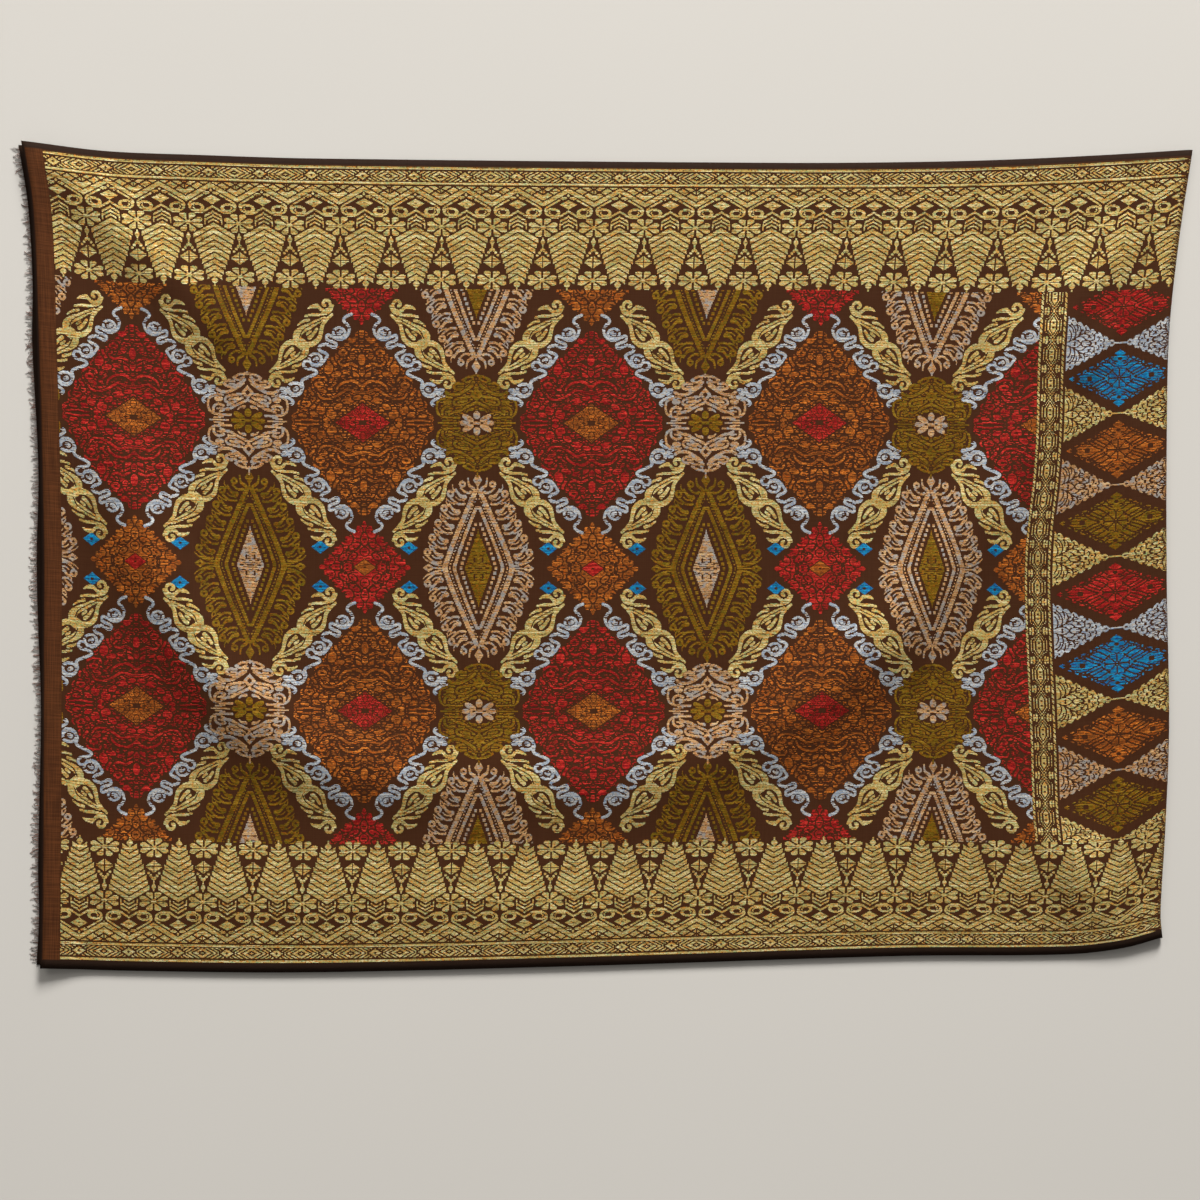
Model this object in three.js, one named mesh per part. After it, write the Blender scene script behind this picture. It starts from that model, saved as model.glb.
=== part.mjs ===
// A brocade waist wrap: one long cloth folded double, lying face up with its fold at the right.
// Millimetres, +X from the open ends to the fold, +Y from the near selvedge to the far one, +Z up.
import * as THREE from 'three';

// Driving dimensions
const THICKNESS = 1.2;
const LAYER_GAP = 1.6;
const FOLD_RADIUS = 3.4;
const FOLD_EASE = 45;
const END_LIFT = 6.5;
const END_CURL = 32;
const BACK_INSET = 3;
const BACK_INSET_EASE = 90;

// Corners of the upper layer in plan
const NEAR_LEFT = { x: -614, y: -404 };
const NEAR_RIGHT = { x: 618, y: -371 };
const FAR_LEFT = { x: -634.5, y: 503.5 };
const FAR_RIGHT = { x: 651, y: 494 };

// How far each edge bows from the straight line between its corners; share runs left to right or near to far
const NEAR_EDGE = [
  { share: 0, bow: 0 },
  { share: 0.08, bow: -6 },
  { share: 0.24, bow: -13 },
  { share: 0.5, bow: -14 },
  { share: 0.77, bow: -12.5 },
  { share: 0.92, bow: -15.5 },
  { share: 0.97, bow: -9.5 },
  { share: 1, bow: 0 },
];
const FAR_EDGE = [
  { share: 0, bow: 0 },
  { share: 0.07, bow: -9.5 },
  { share: 0.15, bow: -13 },
  { share: 0.25, bow: -16 },
  { share: 0.65, bow: -17 },
  { share: 0.78, bow: -14.5 },
  { share: 0.87, bow: -10 },
  { share: 1, bow: 0 },
];
const LEFT_EDGE = [
  { share: 0, bow: 0 },
  { share: 0.1, bow: 3 },
  { share: 0.37, bow: 9.5 },
  { share: 0.52, bow: 12.5 },
  { share: 0.78, bow: 12 },
  { share: 0.92, bow: 9 },
  { share: 1, bow: 0 },
];
const RIGHT_EDGE = [
  { share: 0, bow: 0 },
  { share: 0.03, bow: -3 },
  { share: 0.14, bow: -0.5 },
  { share: 0.27, bow: 0 },
  { share: 0.46, bow: -8.5 },
  { share: 0.64, bow: -14.5 },
  { share: 0.77, bow: -16.5 },
  { share: 0.89, bow: -10 },
  { share: 1, bow: 0 },
];

// How far the lower layer's end lies beyond the upper layer's end, from near to far
const BACK_REACH = [
  { share: 0, reach: 5.5 },
  { share: 0.06, reach: 3.5 },
  { share: 0.12, reach: 5 },
  { share: 0.31, reach: 2.5 },
  { share: 0.43, reach: 6.5 },
  { share: 0.5, reach: 7.5 },
  { share: 0.6, reach: 4 },
  { share: 0.76, reach: 7 },
  { share: 0.83, reach: 4.5 },
  { share: 1, reach: 5 },
];

// Soft folds of the upper layer: a ridge from one point to the other, its half width and its height
const SOFT_FOLDS = [
  { fromX: 645, fromY: 455, toX: 505, toY: 300, width: 27, height: 6 },
  { fromX: 632, fromY: 372, toX: 545, toY: 268, width: 21, height: 5 },
  { fromX: -583, fromY: 467, toX: -429, toY: 313, width: 30, height: 6 },
  { fromX: -500, fromY: -306, toX: -60, toY: -332, width: 46, height: 3 },
  { fromX: 545, fromY: -300, toX: 612, toY: -362, width: 46, height: 8 },
];
const FOLD_END_FADE = 1.6;

// The swag: one long fold that sinks from both far corners to a low middle, steeper at the left
const SWAG = { middleX: -60, lowY: -200, width: 46, startX: -600, endX: 540 };
const SWAG_LEFT = { reach: 521, rise: 530, power: 4 };
const SWAG_RIGHT = { reach: 582, rise: 480, power: 2.5 };
const SWAG_HEIGHTS = [
  { share: 0, height: 0 },
  { share: 0.035, height: 4 },
  { share: 0.09, height: 11 },
  { share: 0.15, height: 13 },
  { share: 0.23, height: 11 },
  { share: 0.35, height: 7 },
  { share: 0.47, height: 6 },
  { share: 0.6, height: 7 },
  { share: 0.72, height: 10 },
  { share: 0.8, height: 13 },
  { share: 0.86, height: 10 },
  { share: 0.92, height: 7 },
  { share: 0.965, height: 4 },
  { share: 1, height: 0 },
];
const SWAG_ROUNDS = 2;

// The band of the woven head bows to the left of its straight line
const HEAD_BOW = { depth: 11, at: 0.885, spread: 0.09 };

// Frayed end of the lower layer
const FRINGE_CLEARANCE = 0.3;
const FRINGE_STRIP = 1.8;
const FRINGE_HEIGHT = 1;
const FRINGE_MARGIN = 4;
const STRAND_COUNT = 236;
const STRAND_ROOT = 1.5;
const STRAND_TIP = 0.9;
const STRAND_LENGTH = 5.2;
const STRAND_UNEVEN = 1.3;
const STRAND_LEAN = 0.55;
const LENGTH_STEP = 0.618034;
const LEAN_STEP = 0.754878;

// Steps of the cloth's surface
const ROWS = 26;
const UPPER_STEPS = 46;
const LOOP_STEPS = 8;
const LOWER_STEPS = 22;

const LOWER_MIDDLE = THICKNESS / 2;
const UPPER_MIDDLE = LOWER_MIDDLE + THICKNESS + LAYER_GAP;
const LOOP_REACH = FOLD_RADIUS + THICKNESS / 2;
const SLOPE_STEP = 1;

const mix = (a, b, share) => a + (b - a) * share;

// A smooth curve through the rows of a table
function along(table, column, share) {
  const last = table.length - 1;
  let row = 0;
  while (row < last - 1 && share > table[row + 1].share) row += 1;
  const slopeAt = (index) => {
    const before = table[Math.max(index - 1, 0)];
    const after = table[Math.min(index + 1, last)];
    return (after[column] - before[column]) / (after.share - before.share);
  };
  const start = table[row];
  const end = table[row + 1];
  const run = end.share - start.share;
  const t = (share - start.share) / run;
  const t2 = t * t;
  const t3 = t2 * t;
  return (2 * t3 - 3 * t2 + 1) * start[column]
    + (t3 - 2 * t2 + t) * run * slopeAt(row)
    + (3 * t2 - 2 * t3) * end[column]
    + (t3 - t2) * run * slopeAt(row + 1);
}

// Plan of the upper layer: u runs from its open end to the fold, v from the near selvedge to the far one
function planPoint(u, v) {
  const leftX = mix(NEAR_LEFT.x, FAR_LEFT.x, v) + along(LEFT_EDGE, 'bow', v);
  const rightX = mix(NEAR_RIGHT.x, FAR_RIGHT.x, v) + along(RIGHT_EDGE, 'bow', v);
  const nearY = mix(NEAR_LEFT.y, NEAR_RIGHT.y, u) + along(NEAR_EDGE, 'bow', u);
  const farY = mix(FAR_LEFT.y, FAR_RIGHT.y, u) + along(FAR_EDGE, 'bow', u);
  const offCentre = (u - HEAD_BOW.at) / HEAD_BOW.spread;
  const headBow = HEAD_BOW.depth * Math.exp(-offCentre * offCentre) * 4 * v * (1 - v);
  return { x: mix(leftX, rightX, u) - headBow, y: mix(nearY, farY, v) };
}

// Height that one soft fold adds at a point of the plan
function ridgeHeight(fold, x, y) {
  const runX = fold.toX - fold.fromX;
  const runY = fold.toY - fold.fromY;
  const length = Math.hypot(runX, runY);
  const alongRidge = ((x - fold.fromX) * runX + (y - fold.fromY) * runY) / length;
  const aside = ((x - fold.fromX) * runY - (y - fold.fromY) * runX) / length;
  const past = Math.max(-alongRidge, 0, alongRidge - length) / FOLD_END_FADE;
  return fold.height * Math.exp(-(aside * aside + past * past) / (fold.width * fold.width));
}

// Crest of the swag at a place along the cloth, and how steeply it climbs there
function swagCrest(x) {
  const side = x < SWAG.middleX ? SWAG_LEFT : SWAG_RIGHT;
  const out = (x - SWAG.middleX) / side.reach;
  const climb = side.rise * Math.abs(out) ** (side.power - 1);
  return { y: SWAG.lowY + climb * Math.abs(out), slope: (Math.sign(out) * side.power * climb) / side.reach };
}

// Height that the swag adds at a point of the plan, by its distance from the nearest place on the crest
function swagHeight(x, y) {
  let nearX = x;
  for (let round = 0; round < SWAG_ROUNDS; round += 1) {
    const crest = swagCrest(nearX);
    const miss = (x - nearX) + (y - crest.y) * crest.slope;
    nearX += miss / (1 + crest.slope * crest.slope);
  }
  const aside = Math.hypot(x - nearX, y - swagCrest(nearX).y) / SWAG.width;
  const share = Math.min(Math.max((nearX - SWAG.startX) / (SWAG.endX - SWAG.startX), 0), 1);
  return along(SWAG_HEIGHTS, 'height', share) * Math.exp(-aside * aside);
}

// Middle of the upper layer above the floor
function upperHeight(u, v) {
  const { x, y } = planPoint(u, v);
  const span = mix(NEAR_RIGHT.x - NEAR_LEFT.x, FAR_RIGHT.x - FAR_LEFT.x, v);
  const fromEnd = (u * span) / END_CURL;
  const fromFold = ((1 - u) * span) / FOLD_EASE;
  const nearFold = Math.exp(-fromFold * fromFold);
  let height = UPPER_MIDDLE + END_LIFT * Math.exp(-fromEnd * fromEnd);
  let folds = swagHeight(x, y);
  for (const fold of SOFT_FOLDS) folds += ridgeHeight(fold, x, y);
  height += folds * (1 - nearFold);
  return mix(height, LOWER_MIDDLE + 2 * FOLD_RADIUS, nearFold);
}

// The cloth's middle point and its face direction, by layer
function upperPoint(u, v) {
  const place = (a, b) => {
    const plan = planPoint(a, b);
    return new THREE.Vector3(plan.x - LOOP_REACH * a, plan.y, upperHeight(a, b));
  };
  const du = SLOPE_STEP / (FAR_RIGHT.x - FAR_LEFT.x);
  const dv = SLOPE_STEP / (FAR_LEFT.y - NEAR_LEFT.y);
  const alongCloth = place(Math.min(u + du, 1), v).sub(place(Math.max(u - du, 0), v));
  const acrossCloth = place(u, Math.min(v + dv, 1)).sub(place(u, Math.max(v - dv, 0)));
  const face = u === 1 ? new THREE.Vector3(0, 0, 1) : alongCloth.cross(acrossCloth).normalize();
  return { middle: place(u, v), face };
}

function loopPoint(turn, v) {
  const plan = planPoint(1, v);
  const face = new THREE.Vector3(Math.sin(turn), 0, -Math.cos(turn));
  const centre = new THREE.Vector3(plan.x - LOOP_REACH, plan.y, LOWER_MIDDLE + FOLD_RADIUS);
  return { middle: centre.addScaledVector(face, FOLD_RADIUS), face };
}

function lowerPoint(u, v) {
  const plan = planPoint(u, v);
  const reach = along(BACK_REACH, 'reach', v) * (1 - u);
  const span = FAR_RIGHT.x - FAR_LEFT.x;
  const inset = BACK_INSET * Math.min(1, ((1 - u) * span) / BACK_INSET_EASE);
  const y = plan.y + inset * (1 - 2 * v);
  const middle = new THREE.Vector3(plan.x - LOOP_REACH * u - reach, y, LOWER_MIDDLE);
  return { middle, face: new THREE.Vector3(0, 0, -1) };
}

// One section of the cloth from the lower end, round the fold, to the upper end
function clothSection(v) {
  const section = [];
  for (let i = 0; i < LOWER_STEPS; i += 1) section.push(lowerPoint(i / LOWER_STEPS, v));
  for (let i = 0; i < LOOP_STEPS; i += 1) section.push(loopPoint((Math.PI * i) / LOOP_STEPS, v));
  for (let i = 0; i <= UPPER_STEPS; i += 1) section.push(upperPoint(1 - i / UPPER_STEPS, v));
  return section;
}

// A closed sheet over a grid of middle points, with half the thickness on each side
function sheetGeometry(sections) {
  const rows = sections.length;
  const columns = sections[0].length;
  const positions = [];
  const triangles = [];
  for (const side of [0.5, -0.5]) {
    for (const section of sections) {
      for (const { middle, face } of section) {
        positions.push(...middle.clone().addScaledVector(face, side * THICKNESS).toArray());
      }
    }
  }
  const outer = (row, column) => row * columns + column;
  const inner = (row, column) => rows * columns + outer(row, column);
  const quad = (a, b, c, d) => triangles.push(a, b, c, a, c, d);
  for (let r = 0; r < rows - 1; r += 1) {
    for (let c = 0; c < columns - 1; c += 1) {
      quad(outer(r, c), outer(r + 1, c), outer(r + 1, c + 1), outer(r, c + 1));
      quad(inner(r, c), inner(r, c + 1), inner(r + 1, c + 1), inner(r + 1, c));
    }
    quad(outer(r, 0), inner(r, 0), inner(r + 1, 0), outer(r + 1, 0));
    const end = columns - 1;
    quad(outer(r, end), outer(r + 1, end), inner(r + 1, end), inner(r, end));
  }
  for (let c = 0; c < columns - 1; c += 1) {
    const far = rows - 1;
    quad(outer(0, c), outer(0, c + 1), inner(0, c + 1), inner(0, c));
    quad(outer(far, c), inner(far, c), inner(far, c + 1), outer(far, c + 1));
  }
  const geometry = new THREE.BufferGeometry();
  geometry.setAttribute('position', new THREE.Float32BufferAttribute(positions, 3));
  geometry.setIndex(triangles);
  geometry.computeVertexNormals();
  return geometry;
}

function foldedCloth() {
  const sections = [];
  for (let row = 0; row <= ROWS; row += 1) sections.push(clothSection(row / ROWS));
  return sheetGeometry(sections);
}

// An even spread of values from -1 to 1, the same at each run
function scatter(index, step) {
  return 2 * ((index * step) % 1) - 1;
}

// A comb in plan: a narrow strip along the lower layer's end, with loose weft ends standing out to the left
function frayedEnd() {
  const edge = (v) => {
    const { middle } = lowerPoint(0, v);
    return { x: middle.x - FRINGE_CLEARANCE, y: middle.y };
  };
  const start = edge(0).y + FRINGE_MARGIN;
  const pitch = (edge(1).y - FRINGE_MARGIN - start) / STRAND_COUNT;
  const shareAt = (y) => (y - edge(0).y) / (edge(1).y - edge(0).y);
  const comb = new THREE.Shape();
  for (let row = 0; row <= ROWS; row += 1) {
    const y = mix(start, start + pitch * STRAND_COUNT, row / ROWS);
    const x = edge(shareAt(y)).x;
    if (row === 0) comb.moveTo(x, y);
    else comb.lineTo(x, y);
  }
  for (let strand = STRAND_COUNT - 1; strand >= 0; strand -= 1) {
    const y = start + pitch * (strand + 0.5);
    const root = edge(shareAt(y)).x - FRINGE_STRIP;
    const tip = root - STRAND_LENGTH - STRAND_UNEVEN * scatter(strand, LENGTH_STEP);
    const tipY = y + STRAND_LEAN * scatter(strand, LEAN_STEP);
    comb.lineTo(root, y + STRAND_ROOT / 2);
    comb.lineTo(tip, tipY + STRAND_TIP / 2);
    comb.lineTo(tip, tipY - STRAND_TIP / 2);
    comb.lineTo(root, y - STRAND_ROOT / 2);
  }
  comb.lineTo(edge(shareAt(start)).x - FRINGE_STRIP, start);
  comb.closePath();
  return new THREE.ExtrudeGeometry(comb, { depth: FRINGE_HEIGHT, bevelEnabled: false });
}

const brocade = new THREE.MeshStandardMaterial({ color: 0x6b4a26, roughness: 0.62, metalness: 0.1 });
const looseWeft = new THREE.MeshStandardMaterial({ color: 0x5a3822, roughness: 0.9, metalness: 0 });

const wrap = new THREE.Group();
const clothMesh = new THREE.Mesh(foldedCloth(), brocade);
clothMesh.name = 'folded_cloth';
const fringeMesh = new THREE.Mesh(frayedEnd(), looseWeft);
fringeMesh.name = 'frayed_end';
wrap.add(clothMesh, fringeMesh);

// The origin is under the middle of the whole cloth
const middle = new THREE.Box3().setFromObject(wrap).getCenter(new THREE.Vector3());
clothMesh.position.set(-middle.x, -middle.y, 0);
fringeMesh.position.set(-middle.x, -middle.y, 0);

export default wrap;
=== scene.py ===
"""Folded waist wrap of supplementary weft brocade, laid face up with its fold on the right.

The cloth is one thin sheet folded over once. Its pattern is woven here as on a loom: a chart of
yarns is drawn motif by motif in loom steps, and every run of one yarn along a row becomes a raised
float that lies on the folded sheet.
"""

import functools

import bpy
import numpy as np
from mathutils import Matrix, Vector


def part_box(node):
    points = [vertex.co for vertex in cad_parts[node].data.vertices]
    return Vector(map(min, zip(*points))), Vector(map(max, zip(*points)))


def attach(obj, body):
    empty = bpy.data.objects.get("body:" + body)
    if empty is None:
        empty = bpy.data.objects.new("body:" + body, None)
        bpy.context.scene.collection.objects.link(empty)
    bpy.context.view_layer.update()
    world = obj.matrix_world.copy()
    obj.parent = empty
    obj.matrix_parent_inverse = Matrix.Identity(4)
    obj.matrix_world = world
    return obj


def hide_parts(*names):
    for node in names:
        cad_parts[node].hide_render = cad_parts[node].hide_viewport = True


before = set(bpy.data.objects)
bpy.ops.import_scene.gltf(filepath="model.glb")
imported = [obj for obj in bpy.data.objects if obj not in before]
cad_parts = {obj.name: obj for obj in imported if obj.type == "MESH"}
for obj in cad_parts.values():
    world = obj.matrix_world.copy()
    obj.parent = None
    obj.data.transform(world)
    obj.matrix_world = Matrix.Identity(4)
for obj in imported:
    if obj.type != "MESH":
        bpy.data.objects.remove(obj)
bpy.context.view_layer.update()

bl_info = {
    "name": "Folded Brocade Waist Wrap",
    "version": (1, 0, 0),
    "blender": (4, 5, 0),
    "location": "View3D > Sidebar > Waist Wrap",
    "description": "Weaves a folded brocade waist wrap over its packed solids",
    "category": "Object",
}

MM = 0.001
SEED = 41

# Outline of the laid cloth in millimetres, from the middle of the view, as in the solids
NEAR_LEFT = (-614.0, -404.0)
NEAR_RIGHT = (618.0, -371.0)
FAR_LEFT = (-634.5, 503.5)
FAR_RIGHT = (651.0, 494.0)

# How far each edge bows: share along the edge, then millimetres
NEAR_EDGE = ((0, 0), (0.08, -6), (0.24, -13), (0.5, -14), (0.77, -12.5), (0.92, -15.5), (0.97, -9.5), (1, 0))
FAR_EDGE = ((0, 0), (0.07, -9.5), (0.15, -13), (0.25, -16), (0.65, -17), (0.78, -14.5), (0.87, -10), (1, 0))
LEFT_EDGE = ((0, 0), (0.1, 3), (0.37, 9.5), (0.52, 12.5), (0.78, 12), (0.92, 9), (1, 0))
RIGHT_EDGE = (
    (0, 0), (0.03, -3), (0.14, -0.5), (0.27, 0), (0.46, -8.5),
    (0.64, -14.5), (0.77, -16.5), (0.89, -10), (1, 0),
)
# How far the lower layer shows past the upper layer's open end
BACK_REACH = (
    (0, 5.5), (0.06, 3.5), (0.12, 5), (0.31, 2.5), (0.43, 6.5),
    (0.5, 7.5), (0.6, 4), (0.76, 7), (0.83, 4.5), (1, 5),
)
# Soft folds as straight ridges: from x, y to x, y, then width and height
SOFT_FOLDS = (
    (645, 455, 505, 300, 27, 6),
    (632, 372, 545, 268, 21, 5),
    (-583, 467, -429, 313, 30, 6),
    (-500, -306, -60, -332, 46, 3),
    (545, -300, 612, -362, 46, 8),
)
FOLD_END_FADE = 1.6

# The swag: one long fold that sinks from both far corners to a low middle, steeper at the left
SWAG_MIDDLE = -60.0
SWAG_LOW = -200.0
SWAG_WIDTH = 46.0
SWAG_START = -600.0
SWAG_END = 540.0
# Its left and right sides: how far each reaches, how far it climbs, and the power of its curve
SWAG_REACH = (521.0, 582.0)
SWAG_RISE = (530.0, 480.0)
SWAG_POWER = (4.0, 2.5)
# Its height: share of the way from start to end, then millimetres
SWAG_HEIGHTS = (
    (0, 0), (0.035, 4), (0.09, 11), (0.15, 13), (0.23, 11), (0.35, 7), (0.47, 6),
    (0.6, 7), (0.72, 10), (0.8, 13), (0.86, 10), (0.92, 7), (0.965, 4), (1, 0),
)
SWAG_ROUNDS = 2

# How far the middle of the cloth is drawn back before the head, and where, as a share of its length
HEAD_BOW_DEPTH = 11.0
HEAD_BOW_AT = 0.885
HEAD_BOW_SPREAD = 0.09

# Section of the fold in millimetres
SHEET_THICKNESS = 1.2
LOWER_MIDDLE = SHEET_THICKNESS / 2
UPPER_MIDDLE = 3.4
FOLD_RADIUS = 3.4
FOLD_MIDDLE = 4.0
LOOP_REACH = FOLD_RADIUS + SHEET_THICKNESS / 2
FOLD_EASE = 45.0
END_LIFT = 6.5
END_CURL = 32.0
BACK_INSET = 3.0
BACK_INSET_EASE = 90.0
FACE_STEP = 0.0005
LOOP_CUTS = 10

# The loom: one step is the pattern's unit of length
STEP = 1.1 * MM
CELL_X = 0.5
CELL_Y = 0.8
FRONT_STEPS = 1124.4
HALF_WIDTH = 404.0
WRAP_STEPS = 10.0
LOOM_COLUMNS = int((FRONT_STEPS + WRAP_STEPS) / CELL_X)
LOOM_ROWS = int(2 * HALF_WIDTH / CELL_Y)
BAKE_MARGIN = 0.002

# Floats in cells: pitch of the ties, shortest float, slip of the ties from row to row, and length spared
# beside a tie
TIE_PITCH = 28
SHORTEST_FLOAT = 2
TIE_SLIP = 7
TIE_SPARE = 3
# Section of a float: how far its sides are sunk in millimetres, half its width in rows, and the most of its
# length that one sloped end takes
FLOAT_SUNK = 0.15
FLOAT_HALF = 0.49
SLOPE_SHARE = 0.35
# How much of a float's glint comes from its whole thread, and how much is its own
THREAD_GLINT = 0.45
FLOAT_GLINT = 0.55
# A float: four sunk points and the two ends of its ridge, joined into two sides and two sloped ends
FLOAT_POINTS = 6
FLOAT_CORNERS = (0, 1, 5, 4, 2, 3, 4, 5, 3, 0, 4, 1, 2, 5)
FLOAT_FACE_STARTS = (0, 4, 8, 11)

# Layout of the pattern in steps, from the open end and from the middle row
PLAIN_END = 19.6
COLUMN_PITCH = 114.2
FIRST_COLUMN = 94.0
ROW_RISE = 142.5
FIELD_HALF = 275.5
BAND_START = 994.4
BAND_WIDTH = 25.0
HEAD_MIDDLE = 1079.4
HEAD_PITCH = 71.0
HEAD_FIRST = -25.0
HEAD_GAP = 1.0
BAND_HALF_RISE = 14.4
BAND_SLIP = 0.1
BAND_NEAR_GAP = 3.0
BAND_FAR_GAP = 1.0
BORDER_PITCH = 49.75
NEAR_FIRST_LEAF = 38.0
FAR_FIRST_LEAF = 28.2
BORDER_DEPTH = 124.0
NEAR_SELVEDGE = 10.0
FAR_SELVEDGE = 7.0
SELVEDGE_LAP = 1.0

# Repeats of the pattern, counted from the first column, the middle row and the first leaf
FIELD_COLUMNS = range(-1, 10)
FIELD_ROWS = range(-2, 3)
SCROLL_ROWS = (-2, 0, 2)
HEAD_PLACES = range(-4, 5)
BAND_PLACES = range(-11, 12)
BORDER_PLACES = range(-1, 24)

# How far the pattern is drawn down where the cloth is pulled, in steps: share across, then drift
MIDDLE_DRIFT_AT = 0.69
MIDDLE_DRIFT = ((0, 0), (0.15, 7.7), (0.32, 9.4), (0.5, 8), (0.68, 2), (0.85, 0), (1, 0))
HEAD_DRIFT_AT = 0.96
HEAD_DRIFT = ((0, 0), (0.15, 18), (0.3, 19), (0.5, 16), (0.7, 13), (0.85, 10.5), (1, 0))
DRIFT_START = 0.15
# How far the band before the head wavers to the right, in steps
BAND_DRIFT = (
    (0, 0), (0.154, 7), (0.2, 4), (0.27, 1.8), (0.38, 0), (0.49, -0.7), (0.53, 0.7), (0.567, 3.5), (0.604, 7),
    (0.655, 9.5), (0.705, 10), (0.755, 9.5), (0.836, 8), (1, 0),
)
BAND_DRIFT_AT = 0.895
BAND_DRIFT_SPREAD = 0.055

# Fills of the chart, in steps
DASH_SLIP = 2.7
DASH_KEPT = 0.86
DASH_DEPTH = 0.66
DASH_SCATTER = (0.618, 0.381)
FLECK_LENGTH = 3.5
FLECK_SCATTER = (12.9898, 78.233, 43758.5453)

GROUND, GOLD, SILVER, LACE, RED, RUST, OLIVE, BLUE = range(8)

# Colours of each yarn beside its main dye, in screen values: deep and light, which are the painted shade and
# painted highlight of unlit and lit floats, then warm and cool tints of the yarn
YARN_PAINTED_LIGHT_AND_TINTS = {
    GOLD: ((112, 80, 30), (255, 250, 196), (236, 156, 60), (160, 190, 132)),
    SILVER: ((124, 134, 146), (240, 246, 250), (214, 196, 172), (140, 168, 200)),
    LACE: ((124, 88, 54), (242, 208, 156), (220, 148, 84), (160, 172, 178)),
    RED: ((92, 12, 14), (238, 68, 58), (186, 48, 30), (140, 16, 28)),
    RUST: ((92, 46, 16), (236, 142, 54), (190, 92, 22), (128, 78, 36)),
    OLIVE: ((80, 56, 6), (168, 132, 40), (154, 92, 14), (104, 100, 22)),
    BLUE: ((8, 66, 112), (32, 168, 222), (18, 108, 190), (20, 148, 180)),
}
# Finish of the metal yarns and of silk: metallic, specular, share of deep patches, which are partly painted
# shade of the folds and partly uneven tone, share of cool drift
METAL_FINISH_AND_SHADE = {
    GOLD: (0.35, 0.15, 0.3, 0.2),
    SILVER: (0.35, 0.15, 0.2, 0.3),
    LACE: (0.3, 0.15, 0.3, 0.65),
}
SILK_FINISH_AND_SHADE = (0.0, 0.08, 0.6, 0.2)

# Noise of the finishes, in repeats a metre along and across the weft
SPARK_SIZE = (420.0, 800.0)
SHADE_AND_TONE_PATCH_SIZE = (42.0, 60.0)
WARM_SIZE = (300.0, 700.0)
COOL_SIZE = (240.0, 560.0)
DRIFT_SIZE = (110.0, 120.0)
STREAK_SIZE = (30.0, 900.0)
SLUB_SIZE = (800.0, 24.0)
WEAR_SIZE = (120.0, 900.0)
CLOUD_SIZE = (1.3, 1.3)
TWIST_TURNS = 9000.0

# Where each noise takes hold, and where a float's glint brings in its main dye and its painted highlight
SPARK_RANGE = (0.3, 0.7)
SPARK_GAIN = (-0.2, 0.2)
SHADE_AND_TONE_PATCH_RANGE = (0.52, 0.34)
WARM_RANGE = (0.52, 0.64)
COOL_RANGE = (0.54, 0.68)
DRIFT_RANGE = (0.51, 0.63)
SHADE_RANGE = (0.3, 0.7)
WEAR_RANGE = (0.35, 0.65)
GROUND_ROUGH_RANGE = (0.2, 0.8)
THREAD_ROUGH_RANGE = (0.3, 0.7)
MAIN_GLINT = (0.12, 0.42)
LIGHT_GLINT = (0.54, 0.86)

# Roughness from its first to its last value, strength and depth of each bump, then specular and sheen
YARN_ROUGHNESS = (0.62, 0.44)
GROUND_ROUGHNESS = (0.85, 0.65)
THREAD_ROUGHNESS = (0.7, 0.9)
YARN_BUMP = (0.25, 0.15 * MM)
GROUND_BUMP = (0.5, 0.3 * MM)
GROUND_SPECULAR = 0.1
THREAD_SHEEN = 0.2

# Painted shadow of the gap between the layers at the open end, where the ground darkens: millimetres before
# the lower cut end, and after the upper one
LOWER_END_PAINTED_SHADOW = (16.0, 13.0)
UPPER_END_PAINTED_SHADOW = (3.4, 2.0)
# Painted shade of the floats on the ground under the pattern: how far that ground goes towards its deep
# thread
FLOAT_PAINTED_SHADE = 0.85

# A loose thread of unit length, and the least and most that one is stretched
THREAD_START = (0.25, 0, 0)
THREAD_BEND = (-0.6, 0.22, 0.06)
THREAD_TIP = (-1, -0.18, -0.03)
THREAD_CUTS = 5
THREAD_SIDES = 4
TIP_WIDTH = 0.45
LEAST_STRETCH = (0.35, -1.0, 1.0)
MOST_STRETCH = (1.2, 1.0, 1.0)
# The cut end they stand on: bare share at both corners, and points of its line
CUT_END_MARGIN = 0.004
CUT_END_POINTS = 120

# Studio in metres, light spreads in degrees
FLOOR_RADIUS = 60.0
FLOOR_SIDES = 96
FLOOR_DROP = 0.2 * MM
FLOOR_CLOUD = 0.96
KEY_PLACE = (1.55, 7.3, 3.7)
KEY_SIZE = 2.6
KEY_SPREAD = 100.0
FILL_PLACE = (-2.2, 2.6, 3.2)
FILL_TARGET = (0, 0.2, 0)
FILL_SIZE = 2.0
FILL_SPREAD = 180.0
FAR_STRENGTH = 1.62
FAR_ANGLE = 20.0
LIGHT_COLOUR = (1.0, 0.97, 0.93)
WORLD_COLOUR = (1.0, 0.96, 0.9, 1.0)
WORLD_STRENGTH = 0.25
SENSOR_WIDTH = 36.0


# Shape of the laid cloth

def along(table, share):
    """Smooth value of a table of (share, value) rows at each share."""
    at = np.array([row[0] for row in table], float)
    value = np.array([row[1] for row in table], float)
    before = np.maximum(np.arange(len(at)) - 1, 0)
    after = np.minimum(np.arange(len(at)) + 1, len(at) - 1)
    slope = (value[after] - value[before]) / (at[after] - at[before])
    share = np.clip(share, 0.0, 1.0)
    low = np.clip(np.searchsorted(at, share, side="right") - 1, 0, len(at) - 2)
    gap = at[low + 1] - at[low]
    t = (share - at[low]) / gap
    return (
        value[low] * (1 + 2 * t) * (1 - t) ** 2
        + slope[low] * gap * t * (1 - t) ** 2
        + value[low + 1] * t * t * (3 - 2 * t)
        + slope[low + 1] * gap * t * t * (t - 1)
    )


def mix(a, b, share):
    """Straight blend from a to b."""
    return a + (b - a) * share


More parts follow.
